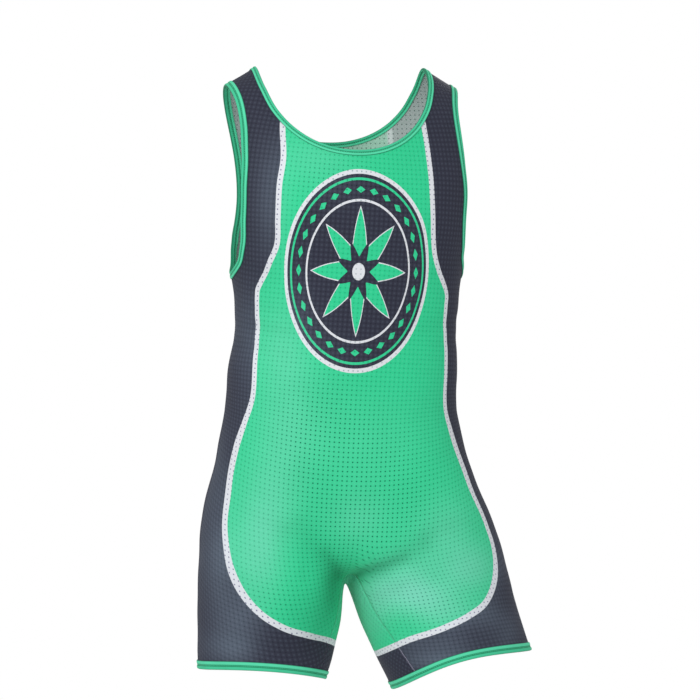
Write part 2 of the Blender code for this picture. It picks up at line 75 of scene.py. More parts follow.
# Which share of the side seam's length each of these rows starts at. None spreads them evenly.
SIDE_SPREAD = {"front": None, "back": {0: 0.0, LEG_ROWS: 0.11, SEAT_ROW: 0.235, SIDE_ROWS: 1.0}}

# The figure's rings. "centre" and "side_line" are the X and Y of a ring's middle, "front" and
# "back" its depths from there, and "squareness" is 2 for an ellipse and more for a fuller one.
RING = ("height", "centre", "side_line", "half_width", "front", "back", "squareness")
TRUNK = (
    (-0.700, 0.004, 0.008, 0.150, 0.082, 0.108, 2.1),
    (-0.620, 0.005, 0.009, 0.156, 0.092, 0.117, 2.1),
    (-0.560, 0.004, 0.010, 0.163, 0.104, 0.121, 2.2),
    (-0.510, 0.002, 0.008, 0.157, 0.108, 0.112, 2.2),
    (-0.480, 0.000, 0.006, 0.153, 0.107, 0.103, 2.2),
    (-0.440, -0.001, 0.004, 0.148, 0.104, 0.093, 2.2),
    (-0.380, 0.001, 0.001, 0.148, 0.100, 0.086, 2.2),
    (-0.325, 0.005, 0.000, 0.143, 0.099, 0.086, 2.2),
    (-0.250, 0.006, 0.002, 0.149, 0.107, 0.095, 2.3),
    (-0.180, 0.005, 0.004, 0.160, 0.114, 0.104, 2.4),
    (-0.110, 0.003, 0.008, 0.168, 0.111, 0.108, 2.4),
    (-0.050, 0.001, 0.011, 0.172, 0.101, 0.103, 2.4),
    (0.030, 0.000, 0.012, 0.172, 0.086, 0.094, 2.4),
)
THIGH = {
    "right": (
        (-0.830, -0.1155, 0.004, 0.0685, 0.084, 0.084, 2.0),
        (-0.752, -0.1005, 0.004, 0.0845, 0.090, 0.090, 2.0),
        (-0.680, -0.0930, 0.006, 0.0925, 0.095, 0.098, 2.0),
        (-0.620, -0.0910, 0.008, 0.0920, 0.097, 0.104, 2.1),
        (-0.560, -0.087, 0.010, 0.0870, 0.092, 0.106, 2.1),
        (-0.500, -0.082, 0.010, 0.070, 0.080, 0.090, 2.1),
        (-0.430, -0.080, 0.010, 0.050, 0.055, 0.060, 2.0),
    ),
    "left": (
        (-0.830, 0.1825, 0.004, 0.0925, 0.084, 0.084, 2.0),
        (-0.739, 0.1448, 0.004, 0.1022, 0.092, 0.092, 2.0),
        (-0.680, 0.1230, 0.006, 0.1050, 0.096, 0.099, 2.0),
        (-0.633, 0.1098, 0.008, 0.1062, 0.098, 0.104, 2.1),
        (-0.575, 0.0965, 0.010, 0.1015, 0.094, 0.106, 2.1),
        (-0.510, 0.084, 0.010, 0.078, 0.080, 0.090, 2.1),
        (-0.430, 0.080, 0.010, 0.050, 0.055, 0.060, 2.0),
    ),
}
THIGH_TOP = -0.430
HIP_BLEND = 0.040
CROTCH_BLEND = 0.008
PELVIS_FLOOR = -0.630
FLOOR_BLEND = 0.050

# The shoulders: a ridge that slopes down and out, rounded from front to back.
STRAP_REST = 0.130
SHOULDER_SLOPE = 0.60
RIDGE_DEPTH = 0.012
ROOF_RADIUS = 0.050
ROOF_BLEND = 0.030

# The neck's inner binding line: a scoop that starts on the ridge, as a superellipse.
NECK_HALF = {"right": 0.1172, "left": 0.1135}
NECK_TOP = 0.010
NECK_ABOVE = 0.12
NECK_DROP = {"front": 0.1185, "back": 0.093}
NECK_FULLNESS = 2.1
NECK_TURNS = (15, 30, 45, 60, 75, 90)

# Seam and binding lines. On the front and back a station is (face, out, height), on the side
# (face, depth, height), and on the top and underneath (face, out, depth).
ARMHOLE_TOP = ("top", 0.1425, RIDGE_DEPTH)
ARMHOLE_FRONT = {
    "right": (
        ("front", 0.1350, -0.035),
        ("front", 0.1325, -0.070),
        ("front", 0.1340, -0.110),
        ("front", 0.1365, -0.150),
        ("front", 0.1380, -0.188),
        ("side", -0.055, -0.220),
        ("side", -0.040, -0.244),
        ("side", -0.017, -0.257),
    ),
    "left": (
        ("front", 0.1350, -0.035),
        ("front", 0.1345, -0.075),
        ("front", 0.1385, -0.115),
        ("front", 0.1415, -0.155),
        ("front", 0.1395, -0.190),
        ("side", -0.052, -0.220),
        ("side", -0.037, -0.244),
        ("side", -0.015, -0.257),
    ),
}
UNDERARM = ("side", 0.006, -0.261)
ARMHOLE_BACK = (
    ("side", 0.038, -0.250),
    ("back", 0.1370, -0.222),
    ("back", 0.1270, -0.185),
    ("back", 0.1210, -0.145),
    ("back", 0.1220, -0.105),
    ("back", 0.1280, -0.068),
    ("back", 0.1370, -0.032),
)
SIDE_SEAM = (
    ("side", 0.006, -0.320),
    ("side", 0.006, -0.400),
    ("side", 0.007, -0.480),
    ("side", 0.010, -0.560),
    ("side", 0.008, -0.640),
    ("side", 0.006, -0.700),
)
CROTCH_POINT = ("front", 0.0, -0.641)
CENTRE_FRONT_HEIGHTS = (-0.60, -0.53, -0.45, -0.37, -0.29, -0.21, -0.15)
UNDER_CROTCH = (("under", 0.0, -0.020), ("under", 0.0, 0.025), ("under", 0.0, 0.065))
CENTRE_BACK_HEIGHTS = (-0.62, -0.56, -0.49, -0.41, -0.33, -0.25, -0.17, -0.12)

# Leg lines. A turn is in degrees round the thigh, from the side (0) past the front (-90).
HEM_HEIGHT = {  # at the outside, front, inside and back of a leg
    "right": (-0.749, -0.7445, -0.7655, -0.756),
    "left": (-0.734, -0.7355, -0.781, -0.757),
}
INSEAM = ((0.0, -137.0), (0.33, -144.0), (0.62, -151.0))

# Creases: soft troughs, and ridges where the depth is below zero. Columns: X and Z of one end, X
# and Z of the other, half-width and depth. Each gets shallower from its first end on.
FACE_EDGE = 0.02  # a face's creases set in over this depth from the side line
CREASES = {
    "front": (
        (0.012, -0.640, 0.090, -0.598, 0.014, 3.0 * MM),
        (-0.020, -0.634, -0.070, -0.572, 0.018, 2.6 * MM),
        (0.014, -0.638, 0.066, -0.615, 0.0065, 3.4 * MM),
        (-0.012, -0.637, -0.036, -0.607, 0.008, 2.4 * MM),
        (-0.022, -0.646, -0.040, -0.722, 0.018, 2.3 * MM),
        (0.034, -0.660, 0.070, -0.636, 0.009, -1.6 * MM),
        (-0.062, -0.640, -0.066, -0.600, 0.006, 0.6 * MM),
        (0.095, -0.588, 0.150, -0.566, 0.012, 0.7 * MM),
        (-0.088, -0.580, -0.140, -0.552, 0.013, 0.6 * MM),
        (-0.138, -0.318, -0.078, -0.330, 0.008, 1.0 * MM),
        (-0.140, -0.296, -0.096, -0.301, 0.007, 0.7 * MM),
        (-0.136, -0.344, -0.090, -0.356, 0.009, 0.7 * MM),
        (0.145, -0.312, 0.092, -0.326, 0.009, 0.9 * MM),
        (0.143, -0.338, 0.100, -0.345, 0.008, 0.6 * MM),
        (-0.150, -0.232, -0.098, -0.262, 0.008, 1.0 * MM),
        (0.152, -0.232, 0.105, -0.256, 0.008, 0.9 * MM),
        (-0.130, -0.070, -0.124, -0.130, 0.006, 0.5 * MM),
        (0.128, -0.060, 0.122, -0.118, 0.006, 0.5 * MM),
        (-0.060, -0.730, -0.150, -0.712, 0.010, 0.6 * MM),
        (0.110, -0.742, 0.200, -0.712, 0.011, 0.7 * MM),
        (0.180, -0.690, 0.232, -0.664, 0.010, 0.6 * MM),
    ),
    "back": (
        (-0.012, -0.642, -0.086, -0.656, 0.014, 3.0 * MM),
        (0.014, -0.645, 0.096, -0.670, 0.013, 3.2 * MM),
        (-0.006, -0.634, -0.006, -0.560, 0.014, 2.2 * MM),
        (-0.134, -0.318, -0.050, -0.334, 0.010, 1.8 * MM),
        (-0.136, -0.344, -0.072, -0.354, 0.009, 1.2 * MM),
        (0.138, -0.312, 0.056, -0.331, 0.010, 1.7 * MM),
        (0.140, -0.340, 0.078, -0.351, 0.008, 1.1 * MM),
        (-0.046, -0.370, 0.050, -0.378, 0.011, 1.1 * MM),
        (-0.128, -0.212, -0.074, -0.238, 0.008, 1.2 * MM),
        (0.130, -0.210, 0.072, -0.243, 0.009, 1.3 * MM),
        (-0.150, -0.700, -0.060, -0.716, 0.010, 0.7 * MM),
        (0.200, -0.700, 0.110, -0.722, 0.011, 0.7 * MM),
        (-0.126, -0.060, -0.118, -0.110, 0.006, 0.5 * MM),
        (0.124, -0.056, 0.116, -0.106, 0.006, 0.5 * MM),
    ),
}
# Low waves of the stretched cloth, everywhere. Columns: length of a wave along X, Y and Z, its
# start in turns, and its height.
WAVES = (
    (0.31, 0.23, 0.071, 0.10, 0.22 * MM),
    (-0.27, 0.35, 0.053, 0.55, 0.16 * MM),
    (0.083, 0.19, 0.26, 0.30, 0.14 * MM),
    (0.062, -0.11, 0.048, 0.80, 0.08 * MM),
)

# The print. A stripe parts the green middle from the charcoal side and leg. Its points run from
# the neck down the front, round the inner thigh, and up the back to the neck.
STRIPE_HALF_WIDTH = 3.6 * MM
STRIPE_STEP = 1.5 * MM
STRIPE_STRETCH = (  # how much wider the cloth draws the stripes, by height
    (-0.700, 1.08), (-0.670, 1.25), (-0.640, 1.50), (-0.600, 1.36), (-0.570, 1.32), (-0.540, 1.48),
    (-0.500, 1.58), (-0.470, 1.52), (-0.440, 1.20), (-0.400, 1.03), (-0.350, 1.00),
)
STRIPE = {
    "right": (
        (-0.088, -0.072, -0.050), (-0.089, -0.077, -0.071), (-0.090, -0.089, -0.114),
        (-0.095, -0.092, -0.144), (-0.097, -0.091, -0.189), (-0.098, -0.086, -0.222),
        (-0.105, -0.078, -0.241), (-0.111, -0.070, -0.258), (-0.116, -0.064, -0.269),
        (-0.1185, -0.060, -0.2765), (-0.1187, -0.059, -0.283), (-0.1185, -0.057, -0.297),
        (-0.119, -0.057, -0.320), (-0.120, -0.058, -0.355), (-0.125, -0.058, -0.415),
        (-0.1342, -0.0513, -0.445), (-0.1457, -0.0454, -0.483), (-0.1551, -0.0492, -0.536),
        (-0.1583, -0.0559, -0.590), (-0.1532, -0.0659, -0.626), (-0.1412, -0.0758, -0.655),
        (-0.115, -0.086, -0.685), (-0.090, -0.088, -0.700), (-0.054, -0.078, -0.712),
        (-0.028, -0.055, -0.720), (-0.014, -0.028, -0.727), (-0.008, 0.008, -0.733),
        (-0.020, 0.050, -0.733), (-0.052, 0.085, -0.722), (-0.092, 0.100, -0.703),
        (-0.124, 0.092, -0.672), (-0.142, 0.085, -0.630), (-0.144, 0.085, -0.580),
        (-0.136, 0.080, -0.520), (-0.124, 0.073, -0.460), (-0.116, 0.065, -0.400),
        (-0.110, 0.065, -0.330), (-0.104, 0.075, -0.270), (-0.096, 0.090, -0.210),
        (-0.088, 0.100, -0.150), (-0.082, 0.100, -0.095), (-0.078, 0.095, -0.050),
        (-0.077, 0.090, -0.025),
    ),
    "left": (
        (0.090, -0.072, -0.050), (0.092, -0.077, -0.071), (0.096, -0.088, -0.112),
        (0.099, -0.095, -0.163), (0.101, -0.093, -0.210), (0.106, -0.085, -0.2405),
        (0.110, -0.081, -0.251), (0.117, -0.074, -0.266), (0.1222, -0.068, -0.2775),
        (0.1233, -0.066, -0.284), (0.1223, -0.065, -0.293), (0.1223, -0.063, -0.311),
        (0.123, -0.061, -0.335), (0.124, -0.060, -0.375), (0.1236, -0.0598, -0.425),
        (0.1314, -0.0557, -0.455), (0.1442, -0.0518, -0.493), (0.163, -0.050, -0.539),
        (0.178, -0.049, -0.576), (0.1866, -0.0505, -0.601), (0.1890, -0.0545, -0.620),
        (0.1859, -0.0647, -0.646), (0.170, -0.079, -0.675), (0.148, -0.087, -0.689),
        (0.115, -0.089, -0.704), (0.074, -0.071, -0.720), (0.052, -0.038, -0.735),
        (0.042, 0.002, -0.746), (0.050, 0.042, -0.744), (0.080, 0.078, -0.732),
        (0.122, 0.096, -0.710), (0.158, 0.092, -0.676), (0.168, 0.085, -0.632),
        (0.156, 0.085, -0.580), (0.140, 0.080, -0.520), (0.126, 0.073, -0.460),
        (0.118, 0.065, -0.400), (0.114, 0.065, -0.330), (0.110, 0.075, -0.270),
        (0.102, 0.090, -0.210), (0.092, 0.100, -0.150), (0.085, 0.100, -0.095),
        (0.080, 0.095, -0.050), (0.079, 0.090, -0.025),
    ),
}

# The mesh's holes, measured on the cloth. Below the chest print their rows sag in the middle.
HOLE_RADIUS = 0.92 * MM
HOLE_EDGE = 0.26 * MM
HOLE_PITCH = (6.1 * MM, 6.2 * MM)
GRAIN_TURN = -2.0  # degrees
KNIT_PITCH = (0.9 * MM, 0.75 * MM)
BINDING_KNIT_PITCH = (0.8 * MM, 0.8 * MM)
PRINT_EDGE = 0.25 * MM
ROW_SAG = 1.1
SAG_FROM = (-0.11, -0.24)

# The left leg stands out, and its cloth leans along it. On the flat cloth this sets in between two
# heights, and between two places across from the middle. There the columns of holes lean, and
# the rows lift on both sides of LEVEL_AT and lie closer.
LEAN_FROM = (-0.34, -0.42)
LEAN_INNER = (0.0, 0.04)
LEG_LEAN = 0.42
LEG_LIFT = 2.6
LEG_CLOSER = 0.19
LEVEL_AT = 0.135

# Soft spots of the worn cloth. Columns: X, Z, half-width, half-height and strength. The pale spots
# are partly paler stretched cloth and partly painted highlight where light falls on the hips and
# thighs and between the legs. The painted shade in the holes is strongest where the cloth lies open.
PALE_AND_LIT_SPOTS = {
    "front": (
        (-0.122, -0.615, 0.030, 0.055, 0.13),
        (-0.108, -0.545, 0.036, 0.055, 0.10),
        (-0.088, -0.460, 0.036, 0.075, 0.08),
        (0.030, -0.700, 0.018, 0.050, 0.08),
        (-0.088, -0.340, 0.030, 0.060, 0.08),
        (-0.060, -0.400, 0.050, 0.060, 0.03),
        (-0.165, -0.625, 0.018, 0.060, 0.09),
        (-0.152, -0.728, 0.025, 0.022, 0.11),
        (-0.130, -0.325, 0.016, 0.060, 0.04),
        (-0.104, -0.180, 0.020, 0.060, 0.07),
        (0.150, -0.632, 0.042, 0.030, 0.16),
        (0.084, -0.664, 0.040, 0.022, 0.17),
        (0.120, -0.686, 0.045, 0.022, 0.12),
        (0.113, -0.747, 0.045, 0.014, 0.11),
        (0.205, -0.712, 0.024, 0.030, 0.06),
        (0.004, -0.565, 0.040, 0.035, 0.08),
        (0.000, -0.470, 0.090, 0.060, 0.04),
        (-0.050, -0.110, 0.050, 0.040, 0.07),
        (0.118, -0.585, 0.045, 0.045, 0.11),
        (0.068, -0.636, 0.034, 0.030, 0.13),
        (0.035, -0.666, 0.022, 0.034, 0.11),
        (0.016, -0.684, 0.012, 0.036, 0.08),
        (0.105, -0.724, 0.060, 0.014, 0.05),
        (0.175, -0.690, 0.020, 0.020, 0.05),
        (-0.142, -0.688, 0.026, 0.028, 0.07),
        (-0.168, -0.505, 0.016, 0.060, 0.05),
    ),
    "back": (
        (-0.072, -0.560, 0.048, 0.050, 0.15),
        (0.076, -0.565, 0.050, 0.052, 0.14),
        (-0.076, -0.200, 0.040, 0.060, 0.08),
        (0.070, -0.215, 0.036, 0.055, 0.06),
        (-0.104, -0.712, 0.040, 0.026, 0.09),
        (0.150, -0.712, 0.042, 0.030, 0.10),
        (0.012, -0.668, 0.020, 0.030, 0.22),
        (0.034, -0.700, 0.022, 0.030, 0.10),
        (0.010, -0.410, 0.080, 0.040, 0.05),
    ),
}
CRISP = {
    "front": (
        (-0.040, -0.465, 0.060, 0.085, 0.80),
        (0.030, -0.540, 0.075, 0.080, 0.95),
        (-0.035, -0.600, 0.035, 0.035, 0.40),
        (0.100, -0.675, 0.065, 0.035, 0.50),
        (-0.090, -0.670, 0.050, 0.030, 0.40),
        (-0.020, -0.140, 0.060, 0.025, 0.40),
    ),
    "back": (
        (-0.060, -0.530, 0.070, 0.070, 0.60),
        (0.065, -0.545, 0.070, 0.075, 0.55),
        (0.000, -0.200, 0.080, 0.080, 0.40),
    ),
}
PAINTED_SHADE_SPOTS = {  # painted shade on the inner thighs, which turn away from the light
    "front": (
        (-0.062, -0.692, 0.038, 0.040, 0.32),
        (-0.022, -0.662, 0.014, 0.030, 0.34),
    ),
    "back": ((-0.040, -0.680, 0.030, 0.036, 0.18),),
}
LEAST_CRISP = 0.30
RAISED_PALE = 0.040  # how much paler the cloth half-way between the holes is
DEEPEST_CREASE = 7.5 * MM  # creases are shaded up to this depth
SHOW_THROUGH = 0.34  # how much of the print shows on the inner side
SHOW_THROUGH_EDGE = 1.8 * MM

# The chest print: an oval medal of plain shapes. Its parts are measured in shares of its half
# sizes: a ring's middle and half-breadth, and a star's turn in points, length and core.
MEDAL_MIDDLE = (-0.002, -0.253)
MEDAL_HALF = (0.095, 0.130)
UPRIGHT_FROM = (-0.002, -0.45)  # the flat cloth stands upright from here to the medal's middle
MEDAL_FIELD = 0.955
MEDAL_HUB = 0.085
OUTER_RING = (0.905, 0.013)
INNER_RING = (0.695, 0.012)
LOZENGES = 28
LOZENGE_RING = 0.80
LOZENGE_HALF = 0.034
LOZENGE_SLANT = 0.050
STAR_POINTS = 8
STAR_SHARPNESS = 1.6
OUTER_STAR = (0.0, 0.37, 0.25)
INNER_STAR = (0.5, 0.17, 0.15)
STAR_EDGE = 0.026

# Colours, linear.
GREEN = (0.030, 0.660, 0.305, 1.0)
CHARCOAL = (0.031, 0.033, 0.055, 1.0)
WHITE = (0.78, 0.80, 0.84, 1.0)
# paler cloth in a bluish white, which is also a painted highlight where light falls
PALE_AND_HIGHLIGHT = (0.60, 0.80, 1.00, 1.0)
INSIDE = (0.62, 0.70, 0.68, 1.0)
BINDING_GREEN = (0.105, 0.760, 0.440, 1.0)
LEG_THREAD = (0.110, 0.640, 0.390, 1.0)
DARK_THREAD = (0.080, 0.085, 0.120, 1.0)
# the right cuff's dark thread is the left cuff's thread with painted shade
CUFF_THREAD_LIT_AND_SHADED = {"right": (0.060, 0.062, 0.090, 1.0), "left": (0.330, 0.320, 0.430, 1.0)}

# Painted shade: what a colour is multiplied by in a hole on the coloured cloth, on a white stripe
# and on the inner side, for the shade seen through the open holes; in a crease; in a binding's
# groove, on its outer half, and as a painted shadow along its two edges.
HOLE_PAINTED_SHADE = (0.08, 0.30, 0.30, 1.0)
WHITE_HOLE_PAINTED_SHADE = (0.36, 0.34, 0.48, 1.0)
INNER_HOLE_PAINTED_SHADE = (0.40, 0.45, 0.45, 1.0)
CREASE_PAINTED_SHADE = (0.30, 0.46, 0.42, 1.0)
GROOVE_PAINTED_SHADE = (0.16, 0.38, 0.32, 1.0)
OUTER_PAINTED_SHADE = (0.62, 0.82, 0.78, 1.0)
EDGE_PAINTED_SHADOW = (0.30, 0.40, 0.38, 1.0)

# Across a binding, in shares of its width: where its outer half's painted shade starts, and how far
# from its middle the groove's painted shade ends and the edges' painted shadow starts.
OUTER_HALF = (0.45, 0.60)
GROOVE_END = (0.06, 0.16)
EDGE_START = (0.40, 0.49)

# Surfaces. Columns: roughness and sheen, then the depth and strength of the finest relief.
PRINT_SURFACE = (0.72, 0.04, 0.50 * MM, 0.8)
INNER_SURFACE = (0.80, 0.04, 0.50 * MM, 0.7)
BINDING_SURFACE = (0.70, 0.05, 0.12 * MM, 0.7)
THREAD_SURFACE = (0.55, 0.10, 0.08 * MM, 0.6)
FLOOR_ROUGHNESS = 0.6
SPECULAR = 0.15
SHEEN_ROUGHNESS = 0.5
PRINT_KNIT_RELIEF = 0.18  # the knit's relief as a share of the holes'
INNER_KNIT_RELIEF = 0.20

# Uneven tones. Columns: the noise's scale and detail, and how far it spreads a colour.
CLOUD = (9.0, 3.0, 0.22)
FLECK = (700.0, 1.0, 0.16)
INNER_CLOUD = (14.0, 3.0, 0.14)
BINDING_CLOUD = (25.0, 3.0, 0.24)
TWIST = (1800.0, 2.0, 0.5)
FLOOR_CLOUD = 6.0
FLOOR_TONES = ((0.78, 0.78, 0.78, 1.0), (0.82, 0.82, 0.82, 1.0))
PALE_SPREAD = 0.9
KNIT_SPREAD = 0.12
BINDING_KNIT_SPREAD = 0.20

# Stitches. The form's columns: share of a thread's length, girth and lift in its own radii.
STITCH_RADIUS = 0.28 * MM
STITCH_PITCH = 2.9 * MM
STITCH_SHARE = 0.82
STITCH_SIDES = 6
STITCH_FORM = (
    (0.00, 0.4, -0.90),
    (0.14, 0.9, -0.10),
    (0.50, 1.0, 0.25),
    (0.86, 0.9, -0.10),
    (1.00, 0.4, -0.90),
)
SEAM_RADIUS = 0.20 * MM
SEAM_PITCH = 2.2 * MM
SEAM_HALF_WIDTH = {"inseam": 0.6 * MM, "side": 1.2 * MM, "shoulder": 1.2 * MM}

# Where a panel's own edge lies inside its binding.
RAW_EDGE = BINDING_WALL + SEAM_GAP  # from a binding's fold to the panel's own edge

# The studio. A light's columns: name, place, size and power.
SURROUND = 0.55
LIT_POINT = (0.0, 0.0, -0.38)
LIGHTS = (
    ("key", (-2.3, -2.6, 0.9), 1.6, 64.0),
    ("fill", (2.4, -2.4, 0.1), 2.0, 18.0),
    ("rim", (1.2, 2.6, 1.2), 1.6, 20.0),
)
FLOOR_RADIUS = 1.3
FLOOR_SIDES = 96

# The photograph's view.
VIEW_TURN = 10.0  # degrees
VIEW_DISTANCE = 3.5
VIEW_HEIGHT = -0.352
VIEW_ACROSS = 0.0103
LENS = 139.5
SENSOR = 36.0
FLOOR_HEIGHT = -1.45

# How the work is done.
SIDES = {"right": -1, "left": 1}
PROBE = 0.2 * MM
RAY_FROM = 0.45
RAY_STEPS = 300
BISECTIONS = 24
SETTLE_PASSES = 5
DENSE = 24
HEM_STEPS = 96
FULL_TURN = 360
RELAX_PASSES = 120
FINE_PASSES = 36
SETTLE_EVERY = 6
UNWRAP_PASSES = 4
HALF_HUB = 0.45
CROTCH_DIP = 0.030
WELD = 0.01 * MM


# ---------------------------------------------------------------- the figure
def smooth(at, knots, values):
    """A smooth curve through the knots, level beyond its ends; values may have columns."""
    slopes = np.gradient(values, knots, axis=0)
    at = np.clip(at, knots[0], knots[-1])
    left = np.clip(np.searchsorted(knots, at, side="right") - 1, 0, len(knots) - 2)
    span = knots[left + 1] - knots[left]
    part = (at - knots[left]) / span
    rest = 1 - part
    weights = (
        (1 + 2 * part) * rest**2,
        (3 - 2 * part) * part**2,
        span * part * rest**2,
        -span * part**2 * rest,
    )
    ends = (values[left], values[left + 1], slopes[left], slopes[left + 1])
    return sum(end.T * weight for end, weight in zip(ends, weights)).T


def ring_values(table, heights):
    """A tube's columns after its heights, at other heights."""
    rows = np.array(table)
    return smooth(heights, rows[:, 0], rows[:, 1:]).T


def ring_value(table, name, heights):
    return ring_values(table, heights)[RING.index(name) - 1]


def ring_field(points, table):
    """How far points lie outside a tube of rings, measured level from its middle."""
    x, y, z = points.T
    centre, side_line, half_width, front, back, power = ring_values(table, z)
    across, deep = x - centre, y - side_line
    depth = np.where(deep < 0, front, back)
    share = (np.abs(across / half_width) ** power + np.abs(deep / depth) ** power) ** (1 / power)
    reach = np.hypot(across, deep)
    return reach - reach / np.maximum(share, PROBE)


def joined(one, other, blend):
    """Two fields as one body, softened where they meet."""
    share = np.clip(0.5 + 0.5 * (other - one) / blend, 0, 1)
    return other + (one - other) * share - blend * share * (1 - share)


def kept(one, other, blend):
    """What two fields have in common, with the edge softened."""
    return -joined(-one, -other, blend)


def roof_field(points):
    x, y, z = points.T
    ridge = SHOULDER_SLOPE * (STRAP_REST - np.abs(x))
    deep = (y - RIDGE_DEPTH) / ROOF_RADIUS
    fall = deep**2 * ROOF_RADIUS / 2
    return (z - ridge + fall) / np.sqrt(1 + SHOULDER_SLOPE**2 + deep**2)


def figure(points):
    """Below zero inside the figure, zero on it, and above zero outside."""
    trunk = kept(ring_field(points, TRUNK), roof_field(points), ROOF_BLEND)
    trunk = kept(trunk, PELVIS_FLOOR - points[:, 2], FLOOR_BLEND)
    over_thigh = points[:, 2] - THIGH_TOP
    thighs = [kept(ring_field(points, THIGH[name]), over_thigh, HIP_BLEND) for name in SIDES]
    return joined(trunk, joined(*thighs, CROTCH_BLEND), HIP_BLEND)


def slope(points):
    """The figure's gradient, which points straight out of it."""
    probes = np.vstack((np.eye(3), -np.eye(3))) * PROBE
    around = figure((points + probes[:, None]).reshape(-1, 3)).reshape(2, 3, -1)
    return (around[0] - around[1]).T / (2 * PROBE)


def unit(vectors):
    return vectors / np.linalg.norm(vectors, axis=-1, keepdims=True)


def settle(points, passes=SETTLE_PASSES):
    """Moves points straight onto the figure."""
    for _ in range(passes):
        out = slope(points)
        points = points - out * (figure(points) / (out**2).sum(axis=1))[:, None]
    return points


def meet(start, way):
    """Where a ray from outside first meets the figure."""
    steps = np.linspace(0, 2 * RAY_FROM, RAY_STEPS)
    first = np.argmax(figure(start + way * steps[:, None]) < 0)
    near, far = steps[first - 1], steps[first]
    for _ in range(BISECTIONS):
        middle = (near + far) / 2
        if figure((start + way * middle)[None])[0] < 0:
            far = middle
        else:
            near = middle
    return start + way * far


# ---------------------------------------------------------------- lines on the figure
def station(face, first, second, side):
    """One point of a line, from the two measures that its face gives."""
    if face in ("front", "back"):
        away = -1 if face == "front" else 1
        middle = ring_value(TRUNK, "centre", np.array([second]))[0]
        start, way = (middle + side * first, away * RAY_FROM, second), (0, -away, 0)
    elif face == "side":
        start, way = (side * RAY_FROM, first, second), (-side, 0, 0)
    else:
        away = 1 if face == "top" else -1
        height = away * RAY_FROM + (PELVIS_FLOOR if face == "under" else 0)
        middle = ring_value(TRUNK, "centre", np.array([height]))[0]
        start, way = (middle + side * first, second, height), (0, 0, -away)
    return meet(np.array(start), np.array(way))


def stations(table, side):
    return [station(*row, side) for row in table]


def lengths(line):
    """How far along a line each of its points lies."""
    return np.append(0, np.cumsum(np.linalg.norm(np.diff(line, axis=0), axis=1)))


def at_lengths(line, length, spots):
    """Points of a line, at places given as lengths along it."""
    return np.stack([np.interp(spots, length, values) for values in line.T], axis=1)


def closed_ring(first, *others):
    """One closed line of open ones, each of which starts where the one before it ends."""
    return np.vstack((first, *[line[1:] for line in others]))[:-1]


def through(points, closed=False):
    """A dense smooth line through points; point k of the input is at k * DENSE."""
    points = np.array(points)
    wrap = 2 if closed else 0
    if closed:
        points = np.vstack((points[-wrap:], points, points[: wrap + 1]))
    knots = lengths(points)
    last = (len(points) - 1 - wrap) * DENSE
    spots = np.interp(np.arange(wrap * DENSE, last + 1) / DENSE, np.arange(len(knots)), knots)
    return smooth(spots, knots, points)


def even(line, cells, spread=None):
    """A dense line as fine steps on the figure: equal ones, or spread as {cell: share}."""
    line = settle(line)
    length = lengths(line)
    shares = np.linspace(0, 1, cells * FINE + 1)
    if spread:
        at, way = (np.array(list(part)) for part in (spread.keys(), spread.values()))
        shares = smooth(np.arange(cells * FINE + 1) / FINE, at, way)
    return settle(at_lengths(line, length, shares * length[-1]))


def neck_ring(lines):
    """The neck's four lines as one closed line, from the right shoulder round the front."""
    front, back = lines["front", "right"][::-1], lines["back", "left"][::-1]
    return closed_ring(front, lines["front", "left"], back, lines["back", "right"])


def neck_line():
    """The neck's four lines, {(face, side): centre to shoulder}."""
    lines = {}
    for name, side in SIDES.items():
        top = station("top", NECK_HALF[name], RIDGE_DEPTH, side)
        for face, drop in NECK_DROP.items():
            points = [top]
            for turn in np.radians(NECK_TURNS):
                out = NECK_HALF[name] * np.clip(np.cos(turn), 0, 1) ** (2 / NECK_FULLNESS)
                height = NECK_TOP - drop * np.sin(turn) ** (2 / NECK_FULLNESS)
                points.append(station(face, out, height, side))
            lines[face, name] = points[::-1]
    dense = through(neck_ring(lines), closed=True)
    quarter = len(NECK_TURNS) * DENSE
    cells = NECK_COLUMNS + STRAP_ROWS
    cut = {
        ("front", "right"): dense[: quarter + 1][::-1],
        ("front", "left"): dense[quarter : 2 * quarter + 1],
        ("back", "left"): dense[2 * quarter : 3 * quarter + 1][::-1],
        ("back", "right"): dense[3 * quarter :],
    }
    return {key: even(line, cells) for key, line in cut.items()}


def armhole_line(name):
    """{face: underarm to shoulder} for one armhole."""
    side, front = SIDES[name], ARMHOLE_FRONT[name]
    ring = [station(*UNDERARM, side), *stations(front[::-1], side)]
    ring += [station(*ARMHOLE_TOP, side), *stations(ARMHOLE_BACK[::-1], side)]
    dense = through(ring, closed=True)
    top = (len(front) + 1) * DENSE
    cut = {"front": dense[: top + 1], "back": dense[top:][::-1]}
    rows = CHEST_ROWS + STRAP_ROWS
    return {face: even(line, ARM_COLUMNS[face] + rows) for face, line in cut.items()}


def on_thigh(name, turn, height):
    """A point near the thigh's surface, a turn round it from the side seam."""
    height = np.asarray(height, dtype=float)
    centre, side_line, radius, *_ = ring_values(THIGH[name], height)
    out = SIDES[name] * radius * np.cos(np.radians(turn))
    return np.stack((centre + out, side_line + radius * np.sin(np.radians(turn)), height), -1)


def hem_height(name, turn):
    """A hem that tips and dips: a wave through its four quarters."""
    outside, front, inside, back = HEM_HEIGHT[name]
    turn = np.radians(turn)
    level = (outside + front + inside + back) / 4
    lean = (outside - inside) / 2 * np.cos(turn) + (back - front) / 2 * np.sin(turn)
    return level + lean + (outside + inside - front - back) / 4 * np.cos(2 * turn)


def hem_line(name):
    """{face: inseam to side seam} for one leg."""
    lines = {}
    _, inseam = INSEAM[0]
    for face, end in (("front", 0), ("back", -FULL_TURN)):
        turns = np.linspace(inseam, end, HEM_STEPS)
        points = on_thigh(name, turns, hem_height(name, turns))
        lines[face] = even(points, NECK_COLUMNS + STRAP_COLUMNS + ARM_COLUMNS[face])
    return lines


